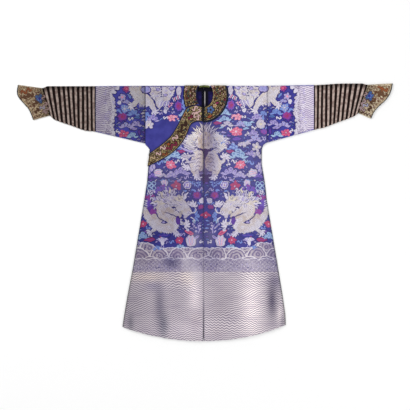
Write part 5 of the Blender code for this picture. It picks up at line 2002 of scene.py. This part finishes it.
TRIM_INKS = (
    "gold_thread", "tan_thread", "gold_thread", "green_thread", "rose_thread", "wine", "tan_thread",
    "brown_thread",
)
TRIM_FLOWERS = (
    ("rose_thread", "wine"), ("wine", "brown_thread"), ("orange_thread", "brown_thread"),
    ("tan_thread", "wine"),
)
FLOWER_EVERY, FLOWER_FIRST = 29, 11


def trim_figures(places, seed, lines, flowers=True):
    """Scrolling stems over gold brocade, with a flower now and then. places holds (place, size)."""
    luck = random.Random(seed)
    chart = Chart()
    for k, (place, size) in enumerate(places):
        turn = luck.uniform(0, 360)
        if flowers and k % FLOWER_EVERY == FLOWER_FIRST:
            petals, heart = luck.choice(TRIM_FLOWERS)
            blossom(chart, place, size * 1.2, petals, heart, tilt=turn)
            continue
        stem = spiral(place, size * 0.6, turn, luck.choice((-1, 1)) * 1.1, 12)
        chart.ribbon(stem, size * 0.34, "brown_thread", 1)
        inner = spiral(place, size * 0.34, turn + 20, luck.choice((-1, 1)) * 0.8, 8)
        chart.ribbon(inner, size * 0.2, luck.choice(TRIM_INKS), 2)
    for line in lines:
        chart.ribbon(line, 0.34, "gold_thread", 3)
    return chart


STRIP_SPACING, STRIP_COLUMNS = 2.2, 5


def strip_places(edges):
    """Places over a strip between pairs of (x, s), on the chart."""
    pairs = np.array(edges) / CHART
    middle = pairs.mean(1)
    along = np.concatenate([[0], np.cumsum(np.hypot(*np.diff(middle, axis=0).T))])
    places = []
    for k, place in enumerate(np.arange(STRIP_SPACING / 2, along[-1], STRIP_SPACING)):
        a, b = (np.array([np.interp(place, along, pairs[:, j, i]) for i in (0, 1)]) for j in (0, 1))
        for c in range(STRIP_COLUMNS):
            share = (c + 0.5 + 0.25 * (k % 2)) / (STRIP_COLUMNS + 0.25)
            places.append(at(*(a + (b - a) * share)))
    return places


def strip_lines(edges, shares):
    """Lines along a strip at shares of its width."""
    pairs = np.array(edges) / CHART
    return [[at(*(a + (b - a) * share)) for a, b in pairs] for share in shares]


# The larger scrolls down the band
Motif = namedtuple("Motif", "u v size tilt ink")
BAND_MOTIFS = (
    Motif(-13.2, 32.0, 5.0, 60, "wine"), Motif(-19.6, 39.6, 6.4, 50, "brown_thread"),
    Motif(-23.6, 46.0, 5.0, 40, "brown_thread"), Motif(-28.4, 52.4, 6.4, 50, "rose_thread"),
    Motif(-29.4, 59.4, 6.6, 50, "wine"), Motif(-34.4, 63.0, 6.0, 30, "wine"),
    Motif(-40.6, 62.6, 5.6, 20, "rose_thread"), Motif(-45.0, 68.4, 5.2, 20, "rose_thread"),
    Motif(-50.8, 72.4, 5.2, 30, "tan_thread"), Motif(-38.6, 69.2, 5.0, 20, "rust"),
    Motif(-50.6, 78.4, 5.0, 10, "brown_thread"), Motif(-45.0, 75.0, 4.6, 20, "tan_thread"),
)
SEAM_LINE = (20.6, 29, 37.4)  # v of the painted shadow in the gap where the collar's halves meet


def band_start():
    """The band's own motifs: a rose group where it meets the collar, and its larger scrolls."""
    chart = Chart()
    for u, v, size, tilt in (
        (-8.6, 23.0, 6.0, 20), (-5.0, 26.4, 5.6, 80), (-9.4, 29.6, 5.8, 140), (-5.2, 32.2, 5.4, 40),
    ):
        swirl(chart, at(u, v), size, tilt, "rose_thread", 1 if tilt > 60 else -1)
    chart.disc(at(-7.2, 27.6), 1.5, "rose_thread", 3, lobes=5, depth=0.2)
    leaf(chart, at(-15.4, 24.2), 5.0, 70, "green_thread", "blue_thread")
    # painted shadow in the gap where the collar's halves meet
    chart.ribbon([at(-0.9, v) for v in SEAM_LINE], 1.7, "pitch", 6)
    for u, v, size, tilt, ink in BAND_MOTIFS:
        swirl(chart, at(u, v), size, tilt, ink)
        leaf(chart, at(u + 0.3 * size, v - 0.3 * size), size * 0.6, tilt + 60, ink, "brown_thread")
    return chart


def left_collar_start():
    """The left collar's own motifs at the centre front."""
    chart = Chart()
    blossom(chart, at(7.0, 24.4), 7.2, "blue_thread", "night")
    blossom(chart, at(11.4, 20.4), 4.4, "tan_thread", "orange_thread")
    leaf(chart, at(6.4, 31.0), 5.2, 30, "orange_thread", "brown_thread")
    leaf(chart, at(13.6, 17.6), 3.6, 20, "crimson", "brown_thread")
    # painted shadow in the gap where the collar's halves meet
    chart.ribbon([at(0.5, v) for v in SEAM_LINE], 0.9, "pitch", 6)
    return chart


def strip_trim(edges):
    """A trim that keeps figures on a strip between pairs of (x, s)."""
    pairs = np.array(edges)
    corner = np.concatenate([pairs[:, 0], pairs[::-1, 1]])
    run = np.roll(corner, -1, 0) - corner

    def trim(x, s):
        points = np.stack([x, s], -1)
        away = points[:, None] - corner
        level = (away[..., 1] < 0) != (away[..., 1] < run[:, 1])
        rise = np.where(run[:, 1] == 0, 1.0, run[:, 1])
        inside = (level & (away[..., 0] < away[..., 1] / rise * run[:, 0])).sum(1) % 2 == 1
        share = np.clip((away * run).sum(-1) / np.maximum((run**2).sum(-1), 1e-9), 0, 1)
        edge = corner + share[..., None] * run
        closest = ((edge - points[:, None]) ** 2).sum(-1).argmin(1)
        kept = np.where(inside[:, None], points, edge[np.arange(len(points)), closest])
        return kept[:, 0], kept[:, 1], ~inside

    return trim


MOTIF_ROOM = 1.2  # clear space round a strip's own motifs
INTO_TRIM = 0.05  # how far its figures reach into it


def strip_figures(name, edges, top, seed, own=None, cords=(0.05, 0.94), shades=(0.97,)):
    """The figures of a collar or band: scrolls, its own motifs, gold cords, and painted shade beside the
    piping.

    cords and shades are shares of its width.
    """
    own = own or Chart()
    taken = np.array([p for shape in own.shapes for p in shape.points] or [complex(999, 999)])
    free = [place for place in strip_places(edges) if np.abs(taken - place).min() > MOTIF_ROOM]
    places = [(place, STRIP_SPACING) for place in free]
    chart = trim_figures(places, seed, strip_lines(edges, cords)).plus(own).dyed({"night": "brown_thread"})
    for line in strip_lines(edges, shades):
        # painted shade beside the piping
        chart.ribbon(line, 1.0, "piping_dark", 4)

    def place(x, s, out):
        return on_cloth(x, s, TRIM_HEIGHT - SKIN + out - INTO_TRIM, top)

    return weave(name, chart, strip_trim(edges), place, even_shade, "gold_brocade")


def cuff_spot(side, share, t):
    """The place on a flattened cuff at shares of the way to its mouth and of the way down, on the chart."""
    end_top, end_low = STRIPE_END[side]
    seam_out = end_top.out + (end_low.out - end_top.out) * t
    seam_drop = end_top.top + (end_low.low - end_top.top) * t
    mouth_out, mouth_drop = through(CUFF_MOUTH[side], t)
    u = SIGN[side] * (seam_out + (mouth_out - seam_out) * share) / CHART
    return at(u, (seam_drop + (mouth_drop - seam_drop) * share) / CHART)


CuffFlower = namedtuple("CuffFlower", "share t size petals heart")
CUFF_FLOWERS = (
    CuffFlower(0.21, 0.4, 9.4, "blue_thread", "indigo"), CuffFlower(0.21, 0.4, 4.6, "sky", "blue_thread"),
)
CuffScroll = namedtuple("CuffScroll", "share t size tilt ink")
CUFF_SCROLLS = (
    CuffScroll(0.08, 0.62, 6.4, 80, "rose_thread"), CuffScroll(0.07, 0.78, 5.0, 60, "rose_thread"),
    CuffScroll(0.26, 0.72, 5.4, 30, "silver"), CuffScroll(0.20, 0.86, 5.0, 10, "rose_thread"),
    CuffScroll(0.72, 0.22, 6.4, 20, "rust"), CuffScroll(0.64, 0.36, 6.0, 60, "brown_thread"),
    CuffScroll(0.50, 0.30, 6.4, 30, "brown_thread"), CuffScroll(0.50, 0.58, 6.0, 70, "brown_thread"),
    CuffScroll(0.84, 0.40, 5.0, 50, "brown_thread"), CuffScroll(0.60, 0.80, 5.0, 80, "brown_thread"),
    CuffScroll(0.52, 0.12, 5.0, 0, "rust"), CuffScroll(0.04, 0.34, 4.6, 80, "rose_thread"),
)
CUFF_INKS = {
    "night": "stem_thread",
    "brown_thread": "stem_thread",
    "green_thread": "tan_thread",
    "gold_thread": "tan_thread",
}
CUFF_SEEDS = {"left": 21, "right": 22}
CUFF_ROWS, CUFF_COLUMNS, CUFF_CURL = np.linspace(0.08, 0.86, 8), 11, 1.8


def cuff_chart(side):
    """The figures of a cuff's front: flowers, scrolls, small curls and a cord round the mouth."""
    chart = Chart()
    for k, bloom in enumerate(CUFF_FLOWERS):
        place = cuff_spot(side, bloom.share, bloom.t)
        blossom(chart, place, bloom.size, bloom.petals, bloom.heart, tilt=20 * k)
    for scroll in CUFF_SCROLLS:
        swirl(chart, cuff_spot(side, scroll.share, scroll.t), scroll.size, scroll.tilt, scroll.ink)
    taken = [(cuff_spot(side, spot.share, spot.t), spot.size * 0.5) for spot in CUFF_FLOWERS + CUFF_SCROLLS]
    places = []
    for k, share in enumerate(CUFF_ROWS):
        for c in range(CUFF_COLUMNS):
            place = cuff_spot(side, share, (c + 0.7 + 0.3 * (k % 2)) / (CUFF_COLUMNS + 0.6))
            if all(abs(place - middle) > room for middle, room in taken):
                places.append((place, CUFF_CURL))
    cord = [cuff_spot(side, 0.93, t) for t in np.linspace(0.04, 0.96, 30)]
    return chart.plus(trim_figures(places, CUFF_SEEDS[side], [cord], flowers=False)).dyed(CUFF_INKS)


def cuff_figures(side, face):
    """The figures of a cuff's front or back."""
    front = face == "front"
    chart = cuff_chart(side) if front else cuff_chart(side).on_back()
    middle = SLEEVE_TOP / 2

    def free(x, s):
        return x, s, np.zeros(len(x), bool)

    def place(x, s, out):
        height = middle - CUFF_INSET + out - SKIN
        return np.stack([x, -np.abs(s), middle + height * (1 if front else -1)], -1)

    return weave(f"figures_cuff_{side}_{face}", chart, free, place, cuff_shade(side), "gold_brocade")


# ---------------------------------------------------------------- weaving the figures into the panels

LONGEST = 12.0  # longest edge of a woven figure, so that it follows the creases
CUTS = 7  # times that longer edges are halved, at most
SLIVER = 0.02  # faces smaller than this are dropped


def figure_mesh(name, shapes, inks):
    """The figures laid flat as one mesh, x and s across and each point's height over the cloth up."""
    points, faces, own, ink_of = [], [], [], []
    for k, shape in enumerate(shapes):
        first = len(points)
        flat = [(p.real * CHART, -p.imag * CHART) for p in shape.points]
        base = FLOAT + LAYER * shape.layer + STAGGER * (k % TURNS)
        rises = [i // shape.step % RISES if shape.step else 0 for i in range(len(flat))]
        points += [(x, s, base + RISE * rise) for (x, s), rise in zip(flat, rises)]
        own += flat if shape.own is None else [tuple(c) for c in shape.own]
        faces += [tuple(first + corner for corner in face) for face in shape.faces]
        ink_of += [inks.index(shape.ink)] * len(shape.faces)
    mesh = bpy.data.meshes.new(name)
    mesh.from_pydata(points, [], faces)
    mesh.polygons.foreach_set("material_index", ink_of)
    corner_of = np.zeros(len(mesh.loops), np.int32)
    mesh.loops.foreach_get("vertex_index", corner_of)
    set_cut(mesh, np.array(own)[corner_of])
    for ink in inks:
        mesh.materials.append(MATERIALS[ink])
    return mesh


def cut_up(drawn):
    """Halves the long edges until the figures can follow the creases."""
    for _ in range(CUTS):
        long = [e for e in drawn.edges if (e.verts[0].co - e.verts[1].co).xy.length > LONGEST]
        if not long:
            break
        bmesh.ops.subdivide_edges(drawn, edges=long, cuts=1)
        bmesh.ops.triangulate(drawn, faces=[f for f in drawn.faces if len(f.verts) > 4])
    drawn.verts.index_update()


def trim_off(drawn, trim):
    """Draws what lies outside the panel in to its edge, and drops the faces that are left with no area."""
    flat = np.array([v.co for v in drawn.verts])
    x, s, outside = trim(flat[:, 0], flat[:, 1])
    gone = [f for f in drawn.faces if all(outside[v.index] for v in f.verts)]
    for vertex, new_x, new_s in zip(drawn.verts, x, s):
        vertex.co.x, vertex.co.y = new_x, new_s
    bmesh.ops.delete(drawn, geom=gone, context="FACES")
    bmesh.ops.delete(drawn, geom=[f for f in drawn.faces if f.calc_area() < SLIVER], context="FACES")


def weave(name, chart, trim, place, shade, slot="brocade"):
    """Lays a chart's figures on a panel as one mesh.

    trim(x, s) moves points outside the panel onto its edge and says which they were; place(x, s, out) puts
    a point on the cloth.
    """
    mesh = figure_mesh(name, chart.shapes, sorted({shape.ink for shape in chart.shapes}))
    drawn = bmesh.new()
    drawn.from_mesh(mesh)
    cut_up(drawn)
    trim_off(drawn, trim)
    for face in drawn.faces:
        face.normal_update()
        if face.normal.z > 0:
            face.normal_flip()
    flat = np.array([v.co for v in drawn.verts])
    for vertex, point in zip(drawn.verts, world(place(flat[:, 0], flat[:, 1], SKIN + flat[:, 2]))):
        vertex.co = point
    drawn.to_mesh(mesh)
    drawn.free()
    set_painted_light_and_fading(mesh, shade(flat[:, 0], flat[:, 1]))
    mesh.validate()
    return shown(name, mesh, slot)


def wobble(x, s):
    """The slight unevenness of outlines that are woven by hand."""
    along = x + 1.5 * np.sin(s / 4.1 + 1.3 * np.sin(x / 11.0)) + 0.5 * np.sin(s / 1.7)
    down = s + 1.5 * np.sin(x / 4.4 + 1.1 * np.sin(s / 9.0)) + 0.5 * np.sin(x / 1.6)
    return along, down


MOVED = 0.01  # a point moved further than this was outside the panel


def body_trim(side, front, flap=False, underlap=False):
    """A trim for one face of a body panel."""
    sign = SIGN[side]
    seam_room, side_room, hem_room, flap_room, underlap_room = 0.8, 1.0, 1.5, 4, 6

    def trim(x, s):
        x, s = wobble(x, s)
        drop = drop_of(s)
        low = vent(drop) + seam_room
        low = np.maximum(low, np.where(s > BACK_NECK, neck_edge(s, side) + seam_room, 0))
        high = side_half(drop, side == "left") - side_room
        reach = np.clip(x * sign, low, high)
        hem = cut_length(hem_drop(x)) - hem_room
        new_s = np.clip(s, 0.0, hem) if front else np.clip(s, -hem, 0.0)
        if flap:
            new_s = np.maximum(new_s, overlap_edge(x) + flap_room)
        if underlap:
            new_s = np.minimum(new_s, overlap_edge(x) + underlap_room)
        outside = (np.abs(reach - x * sign) > MOVED) | (np.abs(new_s - s) > MOVED)
        return reach * sign, new_s, outside

    return trim


def sleeve_trim(side, front):
    """A trim for one face of a sleeve."""
    sign = SIGN[side]
    near, far = SLEEVE_EDGES[side]
    seam_room, far_room, fold_room = 0.6, 0.8, 0.4

    def trim(x, s):
        x, s = wobble(x, s)
        reach = np.clip(x * sign, near.out + JOIN_GAP + seam_room, far.out - far_room)
        top, low = sleeve_span(side, reach)
        drop = np.clip(np.abs(s), top + fold_room, low - fold_room)
        drop = np.where((s < 0) if front else (s > 0), top + fold_room, drop)
        new_s = np.maximum(drop, 0.01) if front else -np.maximum(drop, 0.01)
        outside = (np.abs(reach - x * sign) > MOVED) | (np.abs(new_s - s) > MOVED)
        return reach * sign, new_s, outside

    return trim


# How far the right half's figures are from a mirror image of the left's, in squares across
SHIFT_UPPER, SHIFT_CHEST, SHIFT_SKIRT = 2.3, 3.8, 4.3
MIRRORED_LOWER = at(0, 1)  # and the upper ones' distance down


def on_front(x, s, out):
    return on_cloth(x, s, out, front_top)


def on_underlap(x, s, out):
    return on_cloth(x, s, out, underlap_top)


def in_sight(shape):
    """Whether a figure of the underlap lies above the flap."""
    middle = np.mean(shape.points)
    return -middle.imag < 36 or (middle.real < -48 and -middle.imag < 42)


def body_figures(side):
    """The figures of one half: those of its own panel, and for the right half those of the flap."""
    left = side == "left"
    upper = fill_gaps(scatter(UPPER).plus(shoulder_dragon()), (15, 8), (66, 58), seed=11)
    lower = fill_gaps(scatter(SKIRT).plus(skirt_dragon()), (3, 98), (76, 158), seed=12)
    chest = fill_gaps(scatter(CHEST).plus(chest_half(), front_head()), (5, 60), (62, 96), seed=13)
    if not left:
        upper = upper.mirrored(SHIFT_UPPER).moved(MIRRORED_LOWER)
        chest, lower = chest.mirrored(SHIFT_CHEST), lower.mirrored(SHIFT_SKIRT)
    whole = upper.plus(chest, lower, sea(left))
    back = weave(f"figures_back_{side}", whole.on_back(), body_trim(side, False), on_front, panel_shade)
    if left:
        return [weave("figures_front_left", whole, body_trim(side, True), on_front, panel_shade), back], []
    above = Chart(shape for shape in upper.shapes if in_sight(shape))
    under = weave("figures_underlap", above, body_trim(side, True, underlap=True), on_underlap, panel_shade)
    below = chest.plus(lower, chest_extras(), sea(left))
    flap = weave("figures_flap", below, body_trim(side, True, flap=True), on_front, panel_shade)
    return [under, back], [flap]


def sleeve_figures(side):
    """The figures of a sleeve's front and back."""
    chart = fill_gaps(scatter(SLEEVE).plus(shoulder_dragon(), sleeve_border()), (62, 1), (91, 56), seed=14)
    if side == "right":
        chart = chart.mirrored(SHIFT_UPPER).moved(MIRRORED_LOWER)

    def place(x, s, out):
        return on_sleeve(x, s, out, side)

    woven = []
    for face, drawn in (("front", chart), ("back", chart.on_back())):
        trim = sleeve_trim(side, face == "front")
        woven.append(weave(f"figures_sleeve_{side}_{face}", drawn, trim, place, sleeve_shade(side)))
    return woven


# ---------------------------------------------------------------- the robe

MATERIALS = {name: thread(name, *tones, veins=0.42) for name, tones in THREADS.items()}
MATERIALS.update((name, thread(name, *tones, veins=0.0)) for name, tones in PLAIN_THREADS.items())
MATERIALS.update(
    ground=ground_silk(),
    scales=scale_silk("scales", (236, 230, 235), (226, 214, 207), (70, 58, 128), size=9.0, line=0.36),
    belly=scale_silk("belly", (232, 222, 214), (214, 200, 190), (120, 104, 150), size=5.0, line=0.4),
    face=scale_silk("face", (228, 220, 222), (214, 198, 182), (100, 84, 144), size=6.0, line=0.38),
    waves=wave_silk("waves", 108.0, (178, 168, 180), (118, 106, 142), (156, 142, 166)),
    small_waves=wave_silk("small_waves", 24.0, (176, 166, 184), (104, 94, 134), (150, 138, 166)),
    border=border_silk(),
    stripes=striped_silk(),
    gold=gold_brocade(
        "gold_brocade", ((184, 166, 116), (132, 118, 78)), (116, 120, 92), ((40, 24, 16), (62, 30, 25))
    ),
    tan=gold_brocade(
        "tan_brocade", ((216, 200, 168), (184, 164, 130)), (160, 154, 128), ((138, 106, 80), (108, 80, 58))
    ),
    piping=plain_silk("binding", (18, 26, 36), (30, 44, 54)),
    rim=plain_silk("rim", (96, 104, 54), (70, 76, 44)),
    navy=neck_silk("navy_lining", (21, 17, 62), (33, 27, 84), (14.0, 25.0)),
    # the pale tape's colour is a painted highlight down the neck
    tape=neck_silk("pale_tape", (158, 154, 154), (116, 112, 120)),
)
TOPS = {"left": front_top, "right": underlap_top}  # what each half of the collar lies on


def make_cloths():
    """Every cloth piece, in the order that the robe is put together."""
    made = {}
    for side, top in TOPS.items():
        made[f"body_{side}"] = body_half(side, top)
        made[f"sleeve_{side}"] = sleeve_cloth(side)
        made[f"striped_{side}"] = striped_cloth(side)
        made[f"cuff_{side}"], made[f"cuff_binding_{side}"] = cuff_cloth(side)
        made[f"lining_{side}"] = lining_cloth(side)
        made[f"collar_{side}"], made[f"collar_binding_{side}"] = collar_cloth(side, top)
    made["flap"] = flap_cloth()
    made["band"], made["band_upper"], made["band_lower"] = band_cloth()
    made["rim"] = rim_cloth()
    made["tape"] = tape_cloth()
    return made


def make_figures():
    """The figures woven into each cloth piece that has some."""
    edges = list(zip(*band_lines(80)))
    cords, shades = (0.085, 0.915), (0.03, 0.97)
    band = strip_figures("figures_band", edges, front_top, 31, band_start(), cords, shades)
    made = {"band": [band]}
    for side, top in TOPS.items():
        made[f"body_{side}"], made["flap"] = body_figures(side)
        made[f"sleeve_{side}"] = sleeve_figures(side)
        made[f"cuff_{side}"] = [cuff_figures(side, face) for face in ("front", "back")]
        own = left_collar_start() if side == "left" else None
        made[f"collar_{side}"] = [strip_figures(f"figures_collar_{side}", collar_edges(side), top, 32, own)]
    return made


NARROW = 10 * MM  # no cut is stated narrower than this
NARROW_FILL = 0.55  # share of a narrow cut that its cloth takes up
COLLAR_STRETCH = 1.35  # a bias strip round the collar is cut longer than it lies


def declare(key, piece, figures):
    """Works out a cloth piece's cut, measured in its own coordinates, and what lies on it, and clears the
    measures kept on the piece.
    """
    width, length = piece["cut_size"]
    area = piece["cut_area"]
    if "binding" in key or "_upper" in key or "_lower" in key or key == "tape":
        width, length = NARROW, max(width, length) * (COLLAR_STRETCH if "collar" in key else 1)
        area = NARROW_FILL * NARROW * length
    area = min(area, width * length)
    for kept in ("cut_area", "cut_size"):
        del piece[kept]
    flat, on_it = (width, length), list(figures)
    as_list(on_it)


cloths = make_cloths()
woven = make_figures()
for key, piece in cloths.items():
    declare(key, piece, woven.get(key, ()))


# ---------------------------------------------------------------- the studio


def studio_floor():
    """A white floor."""
    mesh = bpy.data.meshes.new("floor")
    half, low = 6.0, -0.4 * MM
    edge = ((-half, -half, low), (half, -half, low), (half, half, low), (-half, half, low))
    mesh.from_pydata(edge, [], [(0, 1, 2, 3)])
    paper = bpy.data.materials.new("paper")
    paper.use_nodes = True
    shader = paper.node_tree.nodes["Principled BSDF"]
    shader.inputs["Base Color"].default_value = (0.98, 0.98, 0.98, 1)
    shader.inputs["Roughness"].default_value = 0.9
    mesh.materials.append(paper)
    floor = bpy.data.objects.new("floor", mesh)
    bpy.context.scene.collection.objects.link(floor)


SKY_STRENGTH = 0.86
LAMPS = (  # name, place in metres, size and power
    ("key", (-2.4, 2.6, 2.2), 1.6, 45.0),
    ("fill", (2.6, -1.8, 3.0), 2.4, 18.0),
)
CAMERA_PLACE = (-0.0002, 0.0402, 6.366)  # metres; the camera looks straight down


def studio_light():
    """A soft, nearly even light."""
    scene = bpy.context.scene
    scene.view_settings.view_transform = "Standard"
    scene.world = bpy.data.worlds.new("studio")
    scene.world.use_nodes = True
    background = scene.world.node_tree.nodes["Background"]
    background.inputs["Color"].default_value = (1, 1, 1, 1)
    background.inputs["Strength"].default_value = SKY_STRENGTH
    for name, place, size, power in LAMPS:
        light = bpy.data.lights.new(name, "AREA")
        light.size = size
        light.energy = power
        lamp = bpy.data.objects.new(name, light)
        lamp.location = place
        lamp.rotation_euler = (Vector((0, 0, 0)) - Vector(place)).to_track_quat("-Z", "Y").to_euler()
        scene.collection.objects.link(lamp)


def photographer():
    """The camera, straight over the robe."""
    view = bpy.data.cameras.new("view")
    view.lens, view.sensor_width = 100.0, 36.0
    camera = bpy.data.objects.new("view", view)
    camera.location = CAMERA_PLACE
    bpy.context.scene.collection.objects.link(camera)
    bpy.context.scene.camera = camera


studio_floor()
studio_light()
photographer()
